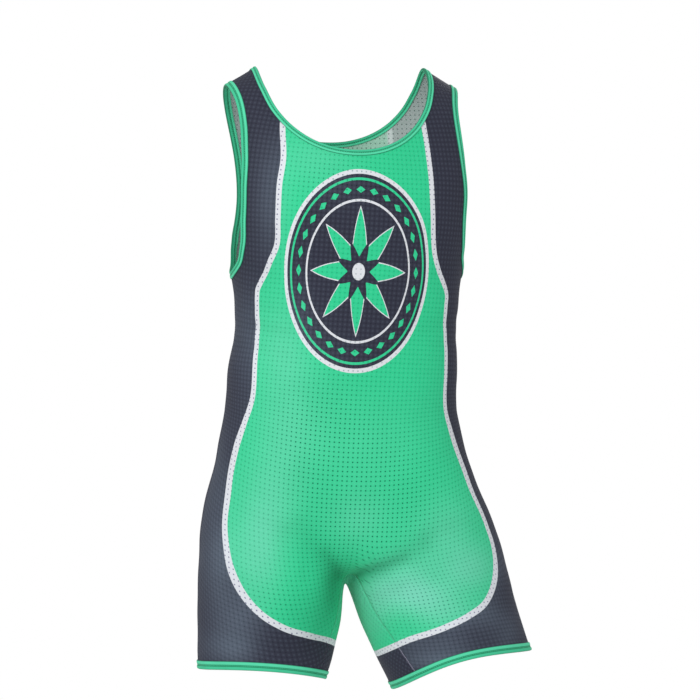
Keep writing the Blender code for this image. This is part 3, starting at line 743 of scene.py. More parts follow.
def seam_lines(name, hem, underarm):
    """The inseam from hem to crotch, and the side seam from hem to underarm."""
    side = SIDES[name]
    crotch = station(*CROTCH_POINT, side)
    low = hem["front"][0]
    inner = [low]
    for share, turn in INSEAM[1:]:
        inner.append(on_thigh(name, turn, low[2] + share * (crotch[2] - low[2])))
    outer = [hem["front"][-1], *stations(SIDE_SEAM[::-1], side), underarm]
    side_seams = {face: even(through(outer), SIDE_ROWS, SIDE_SPREAD[face]) for face in NECK_DROP}
    return even(through([*inner, crotch]), LEG_ROWS), side_seams


def centre_line(face, neck_bottom):
    """From the crotch point up to the neck, on the front or under and up the back."""
    crotch = station(*CROTCH_POINT, 1)
    if face == "front":
        between = [station("front", 0.0, height, 1) for height in CENTRE_FRONT_HEIGHTS]
    else:
        between = stations(UNDER_CROTCH, 1)
        between += [station("back", 0.0, height, 1) for height in CENTRE_BACK_HEIGHTS]
    return even(through([crotch, *between, neck_bottom]), TRUNK_ROWS + CHEST_ROWS)


# ---------------------------------------------------------------- panels
class Corners:
    """Where a half panel's lines meet, in cells split into so many along a side."""

    def __init__(self, face, fine):
        self.neck = NECK_COLUMNS * fine
        self.arm = self.neck + STRAP_COLUMNS * fine
        self.last = self.arm + ARM_COLUMNS[face] * fine
        self.crotch = LEG_ROWS * fine
        self.underarm = self.crotch + TRUNK_ROWS * fine
        self.collar = self.underarm + CHEST_ROWS * fine
        self.top = self.collar + STRAP_ROWS * fine


def lay_lines(sheet, lines, at):
    """Lays the seam and edge lines on a half panel's grid, and says which places they take."""
    fixed = np.zeros(sheet.shape[:2], dtype=bool)
    shoulder = np.linspace(lines["neck"][-1], lines["armhole"][-1], at.arm - at.neck + 1)
    under = at.last - at.arm
    laid = (
        (0, slice(None), lines["hem"]),
        (slice(0, at.crotch + 1), 0, lines["inseam"]),
        (slice(at.crotch, at.collar + 1), 0, lines["centre"]),
        (slice(0, at.underarm + 1), at.last, lines["side"]),
        (at.underarm, slice(at.arm, at.last + 1), lines["armhole"][: under + 1][::-1]),
        (slice(at.underarm, at.top + 1), at.arm, lines["armhole"][under:]),
        (at.collar, slice(0, at.neck + 1), lines["neck"][: at.neck + 1]),
        (slice(at.collar, at.top + 1), at.neck, lines["neck"][at.neck :]),
        (at.top, slice(at.neck, at.arm + 1), settle(shoulder)),
    )
    for rows, columns, points in laid:
        sheet[rows, columns] = points
        fixed[rows, columns] = True
    return fixed


def fan(inner, outer, name, face, cells, dip):
    """A first guess at a row of cloth, turned round the middle of its half of the body."""
    side = SIDES[name]
    height = np.array([(inner[2] + outer[2]) / 2])
    trunk_hub = side * HALF_HUB * ring_value(TRUNK, "half_width", height)[0]
    thigh_hub = ring_value(THIGH[name], "centre", height)[0]
    over_crotch = np.clip((height[0] - PELVIS_FLOOR) / FLOOR_BLEND, 0, 1)
    hub_x = trunk_hub * over_crotch + thigh_hub * (1 - over_crotch)
    hub = np.array((hub_x, ring_value(TRUNK, "side_line", height)[0]))
    ends = np.array((inner, outer))
    spokes = ends[:, :2] - hub
    turn = np.arctan2(spokes[:, 1], side * spokes[:, 0])
    if face == "back" and turn[0] < -np.pi / 2:
        turn[0] += 2 * np.pi
    if face == "front" and turn[0] > np.pi / 2:
        turn[0] -= 2 * np.pi
    share = np.linspace(0, 1, cells + 1)
    turns = turn[0] + (turn[1] - turn[0]) * share
    radius = np.linalg.norm(spokes[0]) * (1 - share) + np.linalg.norm(spokes[1]) * share
    heights = inner[2] * (1 - share) + outer[2] * share
    heights -= dip * np.clip(-np.cos(turns), 0, 1) * (share > 0)
    spread = np.stack((side * radius * np.cos(turns), radius * np.sin(turns)), axis=1)
    return np.column_stack((hub + spread, heights))


def relax(sheet, fixed, passes, settle_every):
    """Evens out the free points of a grid, on the figure."""
    free = ~np.isnan(sheet[..., 0]) & ~fixed
    for turn in range(passes):
        middle = np.zeros_like(sheet)
        middle[1:-1, 1:-1] = (sheet[:-2, 1:-1] + sheet[2:, 1:-1]) / 4
        middle[1:-1, 1:-1] += (sheet[1:-1, :-2] + sheet[1:-1, 2:]) / 4
        sheet[free] = middle[free]
        if turn % settle_every == settle_every - 1:
            sheet[free] = settle(sheet[free], passes=1)
    sheet[free] = settle(sheet[free], passes=2)


def whole_cells(grid):
    """Which cells of a grid have all four of their corners."""
    there = ~np.isnan(grid[..., 0])
    return there[:-1, :-1] & there[1:, :-1] & there[:-1, 1:] & there[1:, 1:]


def coarse_half(name, face, lines):
    """Half of a panel, at the size of the solids' own cells."""
    at = Corners(face, 1)
    coarse = {key: line[::FINE] for key, line in lines.items()}
    sheet = np.full((at.top + 1, at.last + 1, 3), np.nan)
    fixed = lay_lines(sheet, coarse, at)
    for row in range(1, at.top):
        first = at.neck if row >= at.collar else 0
        end = at.arm if row >= at.underarm else at.last
        near_crotch = min(row / at.crotch, 1.0) if row <= at.crotch else 0.0
        dip = CROTCH_DIP * near_crotch if face == "back" else 0.0
        guess = fan(sheet[row, first], sheet[row, end], name, face, end - first, dip)
        sheet[row, first + 1 : end] = settle(guess[1:-1])
    relax(sheet, fixed, RELAX_PASSES, 1)
    return sheet


def fine_half(name, face, lines):
    """Half of a panel: each coarse cell split evenly, then evened out between its lines."""
    coarse = coarse_half(name, face, lines)
    at = Corners(face, FINE)
    sheet = np.full((at.top + 1, at.last + 1, 3), np.nan)
    down, across = np.meshgrid(*[np.linspace(0, 1, FINE + 1)] * 2, indexing="ij")
    down, across = down[..., None], across[..., None]
    for row, column in zip(*np.nonzero(whole_cells(coarse))):
        low = coarse[row, column] * (1 - across) + coarse[row, column + 1] * across
        high = coarse[row + 1, column] * (1 - across) + coarse[row + 1, column + 1] * across
        rows = slice(row * FINE, (row + 1) * FINE + 1)
        columns = slice(column * FINE, (column + 1) * FINE + 1)
        sheet[rows, columns] = low * (1 - down) + high * down
    fixed = lay_lines(sheet, lines, at)
    relax(sheet, fixed, FINE_PASSES, SETTLE_EVERY)
    return sheet


def edge_strip(line, toward, reach):
    """A closed line moved sideways on the figure, toward an opening."""
    along = np.roll(line, -1, axis=0) - np.roll(line, 1, axis=0)
    sideways = unit(np.cross(along, slope(line)))
    flip = np.sign(((toward - line) * sideways).sum(axis=1, keepdims=True))
    return settle(line + sideways * flip * reach)


def edge_grids(name, face, sheet, rings, edges):
    """The strips of a half panel that lie inside the bindings."""
    at = Corners(face, FINE)
    borders = {
        "neck": [(at.collar, column) for column in range(at.neck)]
        + [(row, at.neck) for row in range(at.collar, at.top + 1)],
        "armhole_" + name: [(at.underarm, column) for column in range(at.last, at.arm, -1)]
        + [(row, at.arm) for row in range(at.underarm, at.top + 1)],
        "leg_" + name: [(0, column) for column in range(at.last + 1)],
    }
    grids = []
    for key, places in borders.items():
        rows, columns = np.array(places).T
        edge = sheet[rows, columns]
        apart = np.linalg.norm(rings[key][0][None] - edge[:, None], axis=2)
        grids.append(np.stack((edge, edges[key][np.argmin(apart, axis=1)])))
    return grids


def crease_depth(points):
    """How deep the creases are at each point."""
    total = np.zeros(len(points))
    side_line = ring_value(TRUNK, "side_line", points[:, 2])
    for face, table in CREASES.items():
        away = -1 if face == "front" else 1
        on_face = np.clip((points[:, 1] - side_line) * away / FACE_EDGE, 0, 1)
        for x_low, z_low, x_high, z_high, half_width, depth in table:
            start = np.array((x_low, z_low))
            run = np.array((x_high, z_high)) - start
            from_start = points[:, [0, 2]] - start
            share = (from_start @ run) / (run @ run)
            off = np.linalg.norm(from_start - np.clip(share, 0, 1)[:, None] * run, axis=1)
            ease = np.exp(-((off / half_width) ** 2))
            total += on_face * depth * ease * np.clip(1 - share / 2, 0, 1)
    return total


def wave_height(points):
    total = np.zeros(len(points))
    for long_x, long_y, long_z, start, height in WAVES:
        turns = points[:, 0] / long_x + points[:, 1] / long_y + points[:, 2] / long_z + start
        total += height * np.sin(2 * np.pi * turns)
    return total


def dressed(points):
    """Points with the creases and waves pressed in, and the way out of the cloth at each."""
    out = unit(slope(points))
    return points + out * (wave_height(points) - crease_depth(points))[:, None], out


# ---------------------------------------------------------------- meshes
def added(name, data):
    """A new object in the scene."""
    thing = bpy.data.objects.new(name, data)
    bpy.context.scene.collection.objects.link(thing)
    return thing


def grid_mesh(name, grids, flat=None, folds=None):
    """Grids of points as one open sheet, facing out of the figure.

    flat gives one grid's UVs, and folds a value for each of its rows.
    """
    mesh = bpy.data.meshes.new(name)
    body = bmesh.new()
    layer = body.loops.layers.uv.new("UVMap")
    fold = body.verts.layers.float.new("fold") if folds else None
    for grid in grids:
        corners = {}
        for place in zip(*np.nonzero(~np.isnan(grid[..., 0]))):
            corners[place] = body.verts.new(grid[place])
            if folds:
                corners[place][fold] = folds[place[0]]
        for row, column in zip(*np.nonzero(whole_cells(grid))):
            around = ((row, column), (row, column + 1), (row + 1, column + 1), (row + 1, column))
            face = body.faces.new([corners[place] for place in around])
            if flat is not None:
                for loop, place in zip(face.loops, around):
                    loop[layer].uv = flat[place]
    bmesh.ops.remove_doubles(body, verts=body.verts, dist=WELD)
    bmesh.ops.recalc_face_normals(body, faces=body.faces)
    body.faces.ensure_lookup_table()
    face = body.faces[0]
    middle = np.array(face.calc_center_median())[None]
    if np.dot(slope(middle)[0], face.normal) < 0:
        bmesh.ops.reverse_faces(body, faces=body.faces)
    body.to_mesh(mesh)
    body.free()
    mesh.shade_smooth()
    return added(name, mesh)


def thicken(piece, wall, offset, *materials):
    """Gives a sheet its thickness; a second material goes on its inner side."""
    for material in materials:
        piece.data.materials.append(material)
    solid = piece.modifiers.new("wall", "SOLIDIFY")
    solid.thickness = wall
    solid.offset = offset
    solid.material_offset = len(materials) - 1


def vertex_points(mesh):
    points = np.empty(len(mesh.vertices) * 3)
    mesh.vertices.foreach_get("co", points)
    return points.reshape(-1, 3)


def nearest_vertex(points, face, x, z):
    """The vertex nearest to a place on a face; one on the other face counts as a metre off."""
    away = -1 if face == "front" else 1
    spot = station(face, abs(x), z, 1 if x >= 0 else -1)
    off = np.linalg.norm(points - spot, axis=1) + (points[:, 1] * away < 0)
    return int(np.argmin(off))


def lay_flat(piece, face):
    """UVs of the sheet laid flat, in metres, upright and with the medal's middle at (0, 0)."""
    bpy.context.view_layer.objects.active = piece
    piece.select_set(True)
    bpy.ops.object.mode_set(mode="EDIT")
    bpy.ops.mesh.select_all(action="SELECT")
    bpy.ops.uv.unwrap(method="MINIMUM_STRETCH", iterations=UNWRAP_PASSES, margin=0.0)
    bpy.ops.object.mode_set(mode="OBJECT")
    piece.select_set(False)

    mesh = piece.data
    layer = mesh.uv_layers.active
    flat = np.empty(len(mesh.loops) * 2)
    layer.uv.foreach_get("vector", flat)
    flat = flat.reshape(-1, 2)
    corners = flat.reshape(-1, 4, 2)  # every face is a quad
    beside = np.roll(corners, -1, axis=1)
    flat_area = abs((corners[..., 0] * beside[..., 1] - corners[..., 1] * beside[..., 0]).sum()) / 2
    real_area = sum(polygon.area for polygon in mesh.polygons)
    flat *= np.sqrt(real_area / flat_area)

    vertex_of = np.empty(len(mesh.loops), dtype=int)
    mesh.loops.foreach_get("vertex_index", vertex_of)
    points = vertex_points(mesh)
    middle = flat[np.argmax(vertex_of == nearest_vertex(points, face, *MEDAL_MIDDLE))]
    low = flat[np.argmax(vertex_of == nearest_vertex(points, face, *UPRIGHT_FROM))]
    up = unit(middle - low)
    turn = np.array(((up[1], up[0]), (-up[0], up[1])))
    flat = (flat - middle) @ turn
    layer.uv.foreach_set("vector", flat.ravel())
    return np.ptp(flat, axis=0), real_area


# ---------------------------------------------------------------- the print
def stripe_lines():
    """Dense points of both stripes, and at each the way across the cloth to the green side."""
    spots, ways = [], []
    for name, side in SIDES.items():
        line = settle(through(STRIPE[name]))
        length = lengths(line)
        steps = np.linspace(0, length[-1], int(length[-1] / STRIPE_STEP))
        line = at_lengths(line, length, steps)
        across = unit(np.cross(np.gradient(line, axis=0), slope(line)))
        spots.append(line)
        ways.append(across * side)
    return np.vstack(spots), np.vstack(ways)


def stripe_distance(points, spots, ways):
    """How far points lie from the nearest stripe, above zero on its green side.

    It is measured on the cloth before the body stretches it.
    """
    tree = KDTree(len(spots))
    for index, spot in enumerate(spots):
        tree.insert(spot, index)
    tree.balance()
    nearest = [tree.find(point) for point in points]
    index = np.array([found[1] for found in nearest])
    away = np.array([found[2] for found in nearest])
    side = ((points - spots[index]) * ways[index]).sum(axis=1)
    heights, stretch = np.array(STRIPE_STRETCH).T
    return away * np.sign(side) / smooth(points[:, 2], heights, stretch)


def soft_spots(points, table):
    """The sum of soft spots at each point."""
    total = np.zeros(len(points))
    for x, z, half_width, half_height, strength in table:
        off = ((points[:, 0] - x) / half_width) ** 2 + ((points[:, 2] - z) / half_height) ** 2
        total += strength * np.exp(-off)
    return total


def set_attribute(mesh, name, values):
    attribute = mesh.attributes.new(name, "FLOAT", "POINT")
    attribute.data.foreach_set("value", values.astype(np.float32))


# ---------------------------------------------------------------- materials
class Tree:
    """A material's nodes, written as steps that hand on their output."""

    def __init__(self, name, roughness, sheen=0.0):
        self.material = bpy.data.materials.new(name)
        self.material.use_nodes = True
        self.nodes = self.material.node_tree.nodes
        self.links = self.material.node_tree.links
        self.shader = self.nodes["Principled BSDF"]
        self.shader.inputs["Roughness"].default_value = roughness
        self.shader.inputs["Metallic"].default_value = 0.0
        self.shader.inputs["Specular IOR Level"].default_value = SPECULAR
        self.shader.inputs["Sheen Weight"].default_value = sheen
        self.shader.inputs["Sheen Roughness"].default_value = SHEEN_ROUGHNESS

    def feed(self, socket, value):
        if isinstance(value, bpy.types.NodeSocket):
            self.links.new(value, socket)
        else:
            socket.default_value = value

    def node(self, kind, settings=(), **inputs):
        node = self.nodes.new(kind)
        for key, value in dict(settings).items():
            setattr(node, key, value)
        for key, value in inputs.items():
            self.feed(node.inputs[key.replace("_", " ")], value)
        return node

    def math(self, operation, *values):
        node = self.nodes.new("ShaderNodeMath")
        node.operation = operation
        for socket, value in zip(node.inputs, values):
            self.feed(socket, value)
        return node.outputs[0]

    def plus(self, one, other):
        return self.math("ADD", one, other)

    def minus(self, one, other):
        return self.math("SUBTRACT", one, other)

    def times(self, one, other):
        return self.math("MULTIPLY", one, other)

    def size(self, value):
        return self.math("ABSOLUTE", value)

    def below(self, value, limit):
        return self.math("LESS_THAN", value, limit)

    def within(self, value, middle, half):
        return self.below(self.size(self.minus(value, middle)), half)

    def wave(self, value, pitch):
        """From 0 on each multiple of the pitch to 1 half-way between."""
        turns = self.times(value, 2 * np.pi / pitch)
        return self.math("MULTIPLY_ADD", self.math("COSINE", turns), -0.5, 0.5)

    def about(self, value, spread):
        """A value from 0 to 1 as a factor spread round 1."""
        return self.math("MULTIPLY_ADD", value, spread, 1 - spread / 2)

    def attribute(self, name):
        return self.node("ShaderNodeAttribute", {"attribute_name": name}).outputs["Fac"]

    def shaded(self, colour, tone, spread):
        """A colour multiplied by a tone that is spread round 1."""
        tone = self.about(tone, spread)
        grey = self.node("ShaderNodeCombineColor", Red=tone, Green=tone, Blue=tone)
        return self.mix(1.0, colour, grey.outputs["Color"], "MULTIPLY")

    def tinted(self, share, colour, tint):
        """A colour multiplied by another, for a share."""
        return self.mix(share, colour, tint, "MULTIPLY")

    def ramp(self, value, start, end, low=0.0, high=1.0):
        """low below start, high above end, and smooth between them."""
        node = self.nodes.new("ShaderNodeMapRange")
        node.interpolation_type = "SMOOTHSTEP"
        for socket, entry in zip(node.inputs, (value, start, end, low, high)):
            self.feed(socket, entry)
        return node.outputs["Result"]

    def mix(self, share, one, other, blend="MIX"):
        node = self.nodes.new("ShaderNodeMix")
        node.data_type = "RGBA"
        node.blend_type = blend
        shares, ones, others = (
            next(socket for socket in node.inputs if socket.identifier == identifier)
            for identifier in ("Factor_Float", "A_Color", "B_Color")
        )
        self.feed(shares, share)
        self.feed(ones, one)
        self.feed(others, other)
        return next(socket for socket in node.outputs if socket.identifier == "Result_Color")

    def noise(self, scale, detail):
        """Uneven tone over the object's place in the scene."""
        place = self.node("ShaderNodeNewGeometry").outputs["Position"]
        return self.node("ShaderNodeTexNoise", Scale=scale, Detail=detail, Vector=place).outputs["Fac"]

    def bump(self, height, distance, strength):
        node = self.node("ShaderNodeBump", Height=height, Distance=distance, Strength=strength)
        self.links.new(node.outputs["Normal"], self.shader.inputs["Normal"])

    def colour(self, value):
        self.feed(self.shader.inputs["Base Color"], value)

    def cloth_place(self):
        """U and V on the flat cloth, in metres."""
        flat = self.node("ShaderNodeUVMap", {"uv_map": "UVMap"})
        parts = self.node("ShaderNodeSeparateXYZ", Vector=flat.outputs["UV"])
        return parts.outputs["X"], parts.outputs["Y"]

    def rows(self, across, up, face):
        """Measures along and over the rows of holes."""
        way = 1.0 if face == "front" else -1.0
        turn = np.radians(GRAIN_TURN)
        cosine, sine = float(np.cos(turn)), float(np.sin(turn))
        along = self.plus(self.times(across, cosine), self.times(up, sine))
        over = self.minus(self.times(up, cosine), self.times(across, sine))
        sag = self.times(self.times(across, across), self.ramp(up, *SAG_FROM, 0.0, ROW_SAG))
        out = self.times(across, way)
        below = self.minus(LEAN_FROM[0], up)
        inward = self.minus(LEVEL_AT, out)
        on_leg = self.times(self.ramp(up, *LEAN_FROM[::-1], 1.0, 0.0), self.ramp(out, *LEAN_INNER))
        lean = self.times(self.times(below, LEG_LEAN * way), on_leg)
        lift = self.times(self.times(inward, inward), LEG_LIFT)
        closer = self.times(self.minus(lift, self.times(below, LEG_CLOSER)), on_leg)
        return self.minus(along, lean), self.plus(self.minus(over, sag), closer)

    def holes(self, along, over):
        """1 in the mesh's holes, 0 between them."""
        squares = []
        for value, pitch in zip((along, over), HOLE_PITCH):
            share = self.math("FRACT", self.math("DIVIDE", value, pitch))
            off = self.times(self.minus(share, 0.5), pitch)
            squares.append(self.times(off, off))
        away = self.math("SQRT", self.plus(*squares))
        return self.ramp(away, HOLE_RADIUS - HOLE_EDGE, HOLE_RADIUS + HOLE_EDGE, 1.0, 0.0)

    def waffle(self, along, over):
        """Raised cloth between the holes: 1 half-way between four of them, 0 in a hole."""
        waves = [self.wave(value, pitch) for value, pitch in zip((along, over), HOLE_PITCH)]
        return self.minus(1.0, self.math("MAXIMUM", *waves))

    def knit(self, across, up, pitches):
        """Fine wales and courses of the knit, from 0 to 1."""
        waves = [self.wave(value, pitch) for value, pitch in zip((across, up), pitches)]
        return self.times(*waves)


def medal(tree, across, up, ground):
    """The chest print over the ground colour: plain ovals, lozenges and an eight-pointed star."""
    x = tree.math("DIVIDE", across, MEDAL_HALF[0])
    y = tree.math("DIVIDE", up, MEDAL_HALF[1])
    reach = tree.math("SQRT", tree.plus(tree.times(x, x), tree.times(y, y)))
    turn = tree.math("DIVIDE", tree.math("ARCTAN2", x, y), 2 * np.pi)

    def spokes(count, shift=0.0):
        """From 0 half-way between spokes to 1 on each."""
        share = tree.math("FRACT", tree.plus(tree.times(turn, count), 0.5 + shift))
        return tree.minus(1.0, tree.times(tree.size(tree.minus(share, 0.5)), 2.0))

    def star(shift, length, core):
        """How far a star reaches out at each turn."""
        points = tree.math("POWER", spokes(STAR_POINTS, shift), STAR_SHARPNESS)
        return tree.math("MULTIPLY_ADD", points, length, core)

    outer_star = star(*OUTER_STAR)
    inner_star = star(*INNER_STAR)
    lozenge_side = tree.times(tree.minus(1.0, spokes(LOZENGES)), LOZENGE_SLANT)
    lozenge = tree.plus(lozenge_side, tree.size(tree.minus(reach, LOZENGE_RING)))

    layers = (
        (tree.below(reach, 1.0), WHITE),
        (tree.below(reach, MEDAL_FIELD), CHARCOAL),
        (tree.within(reach, *OUTER_RING), GREEN),
        (tree.below(lozenge, LOZENGE_HALF), GREEN),
        (tree.within(reach, *INNER_RING), WHITE),
        (tree.below(tree.minus(reach, outer_star), STAR_EDGE), WHITE),
        (tree.below(reach, outer_star), GREEN),
        (tree.below(reach, inner_star), CHARCOAL),
        (tree.below(reach, MEDAL_HUB), WHITE),
    )
    for share, colour in layers:
        ground = tree.mix(share, ground, colour)
    return ground


def stripe_share(tree, edge):
    """1 in the white stripes, and how far a place is on their green side."""
    off = tree.attribute("stripe")
    limits = STRIPE_HALF_WIDTH - edge, STRIPE_HALF_WIDTH + edge
    return tree.ramp(tree.size(off), *limits, 1.0, 0.0), tree.ramp(off, -edge, edge)


def panel_material(face):
    """Printed sports mesh: green, charcoal and white, with rows of small holes, painted shade and
    painted highlight.
    """
    roughness, sheen, *relief = PRINT_SURFACE
    tree = Tree(face + "_print", roughness, sheen)
    across, up = tree.cloth_place()
    along, over = tree.rows(across, up, face)
    holes = tree.holes(along, over)
    waffle = tree.waffle(along, over)
    knit = tree.knit(across, up, KNIT_PITCH)
    cloud = tree.noise(*CLOUD[:2])
    fleck = tree.noise(*FLECK[:2])

    in_stripe, green_side = stripe_share(tree, PRINT_EDGE)
    ground = tree.mix(green_side, CHARCOAL, GREEN)
    if face == "front":
        ground = medal(tree, across, up, ground)
    colour = tree.mix(in_stripe, ground, WHITE)

    # The pale spots: paler stretched cloth and painted highlight, with the paler cloth between the
    # holes.
    pale = tree.times(tree.attribute("pale"), tree.about(cloud, PALE_SPREAD))
    pale_and_highlight = tree.plus(pale, tree.times(tree.times(waffle, waffle), RAISED_PALE))
    colour = tree.mix(pale_and_highlight, colour, PALE_AND_HIGHLIGHT)
    for tone, spread in ((cloud, CLOUD[-1]), (fleck, FLECK[-1]), (knit, KNIT_SPREAD)):
        colour = tree.shaded(colour, tone, spread)
    # Painted shade in the holes, for the dim inside seen through them.
    shade = tree.mix(in_stripe, HOLE_PAINTED_SHADE, WHITE_HOLE_PAINTED_SHADE)
    crisp = tree.math("MAXIMUM", tree.attribute("crisp"), in_stripe)
    colour = tree.tinted(tree.times(holes, crisp), colour, shade)
    # Painted shade in the creases and on the inner thighs.
    tree.colour(tree.tinted(tree.attribute("painted_shade"), colour, CREASE_PAINTED_SHADE))
    tree.bump(tree.minus(tree.times(knit, PRINT_KNIT_RELIEF), holes), *relief)
    return tree.material


def inside_material(face):
    """The mesh's unprinted inner side, with the print faintly showing."""
    roughness, sheen, *relief = INNER_SURFACE
    tree = Tree(face + "_inner_side", roughness, sheen)
    across, up = tree.cloth_place()
    holes = tree.holes(*tree.rows(across, up, face))
    knit = tree.knit(across, up, KNIT_PITCH)
    in_stripe, green_side = stripe_share(tree, SHOW_THROUGH_EDGE)
    printed = tree.mix(in_stripe, tree.mix(green_side, CHARCOAL, GREEN), WHITE)
    colour = tree.mix(SHOW_THROUGH, INSIDE, printed)
    colour = tree.shaded(colour, tree.noise(*INNER_CLOUD[:2]), INNER_CLOUD[-1])
    # Painted shade in the holes, for the dim cloth seen through them.
    tree.colour(tree.tinted(holes, colour, INNER_HOLE_PAINTED_SHADE))
    tree.bump(tree.minus(tree.times(knit, INNER_KNIT_RELIEF), holes), *relief)
    return tree.material


def binding_material():
    """Fine knit, with painted shade in its middle groove and on its outer half, and a painted shadow
    along the garment and the fold.
    """
    roughness, sheen, *relief = BINDING_SURFACE
    tree = Tree("binding_cloth", roughness, sheen)
    knit = tree.knit(*tree.cloth_place(), BINDING_KNIT_PITCH)
    fold = tree.attribute("fold")
    off_middle = tree.size(tree.minus(fold, 0.5))
    # Painted shade on the outer half and in the groove, and a painted shadow along both edges.
    colour = tree.tinted(tree.ramp(fold, *OUTER_HALF), BINDING_GREEN, OUTER_PAINTED_SHADE)
    colour = tree.tinted(tree.ramp(off_middle, *GROOVE_END, 1.0, 0.0), colour, GROOVE_PAINTED_SHADE)
    colour = tree.tinted(tree.ramp(off_middle, *EDGE_START), colour, EDGE_PAINTED_SHADOW)
    colour = tree.shaded(colour, tree.noise(*BINDING_CLOUD[:2]), BINDING_CLOUD[-1])
    tree.colour(tree.shaded(colour, knit, BINDING_KNIT_SPREAD))
    tree.bump(knit, *relief)
    return tree.material


def thread_material(name, colour, cuff=None):
    """Twisted sewing thread. With a cuff colour it takes the print's colours above the cuff."""
    roughness, sheen, *relief = THREAD_SURFACE
    tree = Tree(name, roughness, sheen)
    twist = tree.noise(*TWIST[:2])
    if cuff:
        in_stripe, green_side = stripe_share(tree, PRINT_EDGE)
        colour = tree.mix(in_stripe, tree.mix(green_side, cuff, colour), WHITE)
    tree.colour(tree.shaded(colour, twist, TWIST[-1]))
    tree.bump(twist, *relief)
    return tree.material


# ---------------------------------------------------------------- bindings
# A binding's outer side from the garment to its fold: share of the width, height above the
# middle of the cloth.
BINDING_PROFILE = (
    (0.000, 0.95 * MM),
    (0.010, 1.60 * MM),
    (0.050, 2.05 * MM),
    (0.130, 2.30 * MM),
    (0.240, 2.35 * MM),
    (0.340, 2.20 * MM),
    (0.410, 1.82 * MM),
    (0.460, 1.52 * MM),
    (0.500, 1.44 * MM),
    (0.540, 1.52 * MM),
    (0.590, 1.82 * MM),
    (0.660, 2.20 * MM),
    (0.760, 2.35 * MM),
    (0.870, 2.20 * MM),
    (0.945, 1.80 * MM),
    (0.988, 1.10 * MM),
    (1.000, 0.00 * MM),
)
GROOVE = (0.5, 1.46 * MM)  # the place of the stitches, in the same columns


def binding(name, line, toward, width, material):
    """A strip folded round an edge, with a groove along the middle of each side."""
    outer, inner = [], []
    for share, height in BINDING_PROFILE:
        base, out = dressed(edge_strip(line, toward, share * width))
        outer.append(base + out * height)
        inner.append(base - out * height)
    grid = np.stack(outer + inner[-2::-1])
    grid = np.concatenate((grid, grid[:, :1]), axis=1)
    along, across = lengths(grid[0]), lengths(grid[:, 0])
    flat = np.stack(np.meshgrid(along, across), axis=-1)
    shares = [share for share, _ in BINDING_PROFILE]
    piece = grid_mesh(name, [grid], flat, shares + shares[-2::-1])
    thicken(piece, BINDING_CLOTH, -1, material)
    return piece, across[-1], along[-1]


# ---------------------------------------------------------------- stitches
def threads(name, starts, ends, outs, radius, material):
    """Short threads as one mesh, each diving into the cloth at both of its ends."""
    along = ends - starts
    across = unit(np.cross(along, outs))[:, None]
    turns = np.linspace(0, 2 * np.pi, STITCH_SIDES, endpoint=False)[None, :, None]
    around = across * np.cos(turns) + outs[:, None] * np.sin(turns)
    rings = []
    for share, girth, lift in STITCH_FORM:
        middle = starts + along * share + outs * lift * radius
        rings.append(middle[:, None] + around * girth * radius)
    points = np.stack(rings, axis=1).reshape(-1, 3)

    per_thread = STITCH_SIDES * len(STITCH_FORM)
    faces = [tuple(range(STITCH_SIDES)), tuple(range(per_thread - 1, per_thread - STITCH_SIDES - 1, -1))]
    for ring in range(len(STITCH_FORM) - 1):
        for side in range(STITCH_SIDES):
            here, beside = ring * STITCH_SIDES + side, ring * STITCH_SIDES + (side + 1) % STITCH_SIDES
            faces.append((here, here + STITCH_SIDES, beside + STITCH_SIDES, beside))
    firsts = range(0, len(points), per_thread)
    every = [tuple(corner + first for corner in face) for first in firsts for face in faces]
    mesh = bpy.data.meshes.new(name)
    mesh.from_pydata(points.tolist(), [], every)
    mesh.shade_smooth()
    mesh.materials.append(material)
    piece = added(name, mesh)
    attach(piece, "root")
    return piece


def stepped(line, pitch, closed=False):
    """Points about a pitch apart along a line."""
    if closed:
        line = np.vstack((line, line[:1]))
    length = lengths(line)
    steps = np.linspace(0, length[-1], max(3, round(length[-1] / pitch) + 1))
    return at_lengths(line, length, steps)


def groove_stitches(name, line, toward, width, material):
    """A row of stitches in the groove on each side of a binding."""
    share, height = GROOVE
    path = stepped(edge_strip(line, toward, share * width), STITCH_PITCH, closed=True)
    base, out = dressed(settle(path))
    starts, ends, outs = [], [], []
    for way in (1, -1):
        spots = base + way * out * height
        run = np.diff(spots, axis=0) * (1 - STITCH_SHARE) / 2
        starts.append(spots[:-1] + run)
        ends.append(spots[1:] - run)
        outs.append(unit(out[1:] + out[:-1]) * way)
    return threads(name, np.vstack(starts), np.vstack(ends), np.vstack(outs), STITCH_RADIUS, material)


def flat_seam(name, line, half_width, material):
    """A flat seam's cover threads: a zigzag between two straight rows, along an open line."""
    base, out = dressed(settle(stepped(line, SEAM_PITCH)))
    across = unit(np.cross(np.gradient(base, axis=0), out)) * half_width
    level = base + out * (PANEL_WALL / 2 + SEAM_RADIUS / 2)
    rows = level - across, level + across
    places = np.arange(len(level) - 1)
    starts, ends = [], []
    for here, there in ((0, 0), (1, 1), (0, 1), (1, 0)):
        some = places if here == there else places[here::2]
        starts.append(rows[here][some])
        ends.append(rows[there][some + 1])
    outs = np.vstack([out[:-1], out[:-1], out[:-1][0::2], out[:-1][1::2]])
    return threads(name, np.vstack(starts), np.vstack(ends), outs, SEAM_RADIUS, material)


# ---------------------------------------------------------------- the studio
def camera():
    lens = bpy.data.cameras.new("photo_view")
    lens.lens = LENS
    lens.sensor_width = SENSOR
    turn = np.radians(VIEW_TURN)
    eye = added("photo_view", lens)
    across = np.array((np.cos(turn), -np.sin(turn))) * VIEW_ACROSS
    back = np.array((np.sin(turn), np.cos(turn))) * VIEW_DISTANCE
    eye.location = (*(across - back), VIEW_HEIGHT)
    eye.rotation_euler = (np.pi / 2, 0, -turn)
    bpy.context.scene.camera = eye


def light(name, place, size, power):
    lamp = bpy.data.lights.new(name, "AREA")
    lamp.shape = "DISK"
    lamp.size = size
    lamp.energy = power
    lit = added(name, lamp)
    lit.location = place
    lit.rotation_euler = (Vector(place) - Vector(LIT_POINT)).to_track_quat("Z", "Y").to_euler()


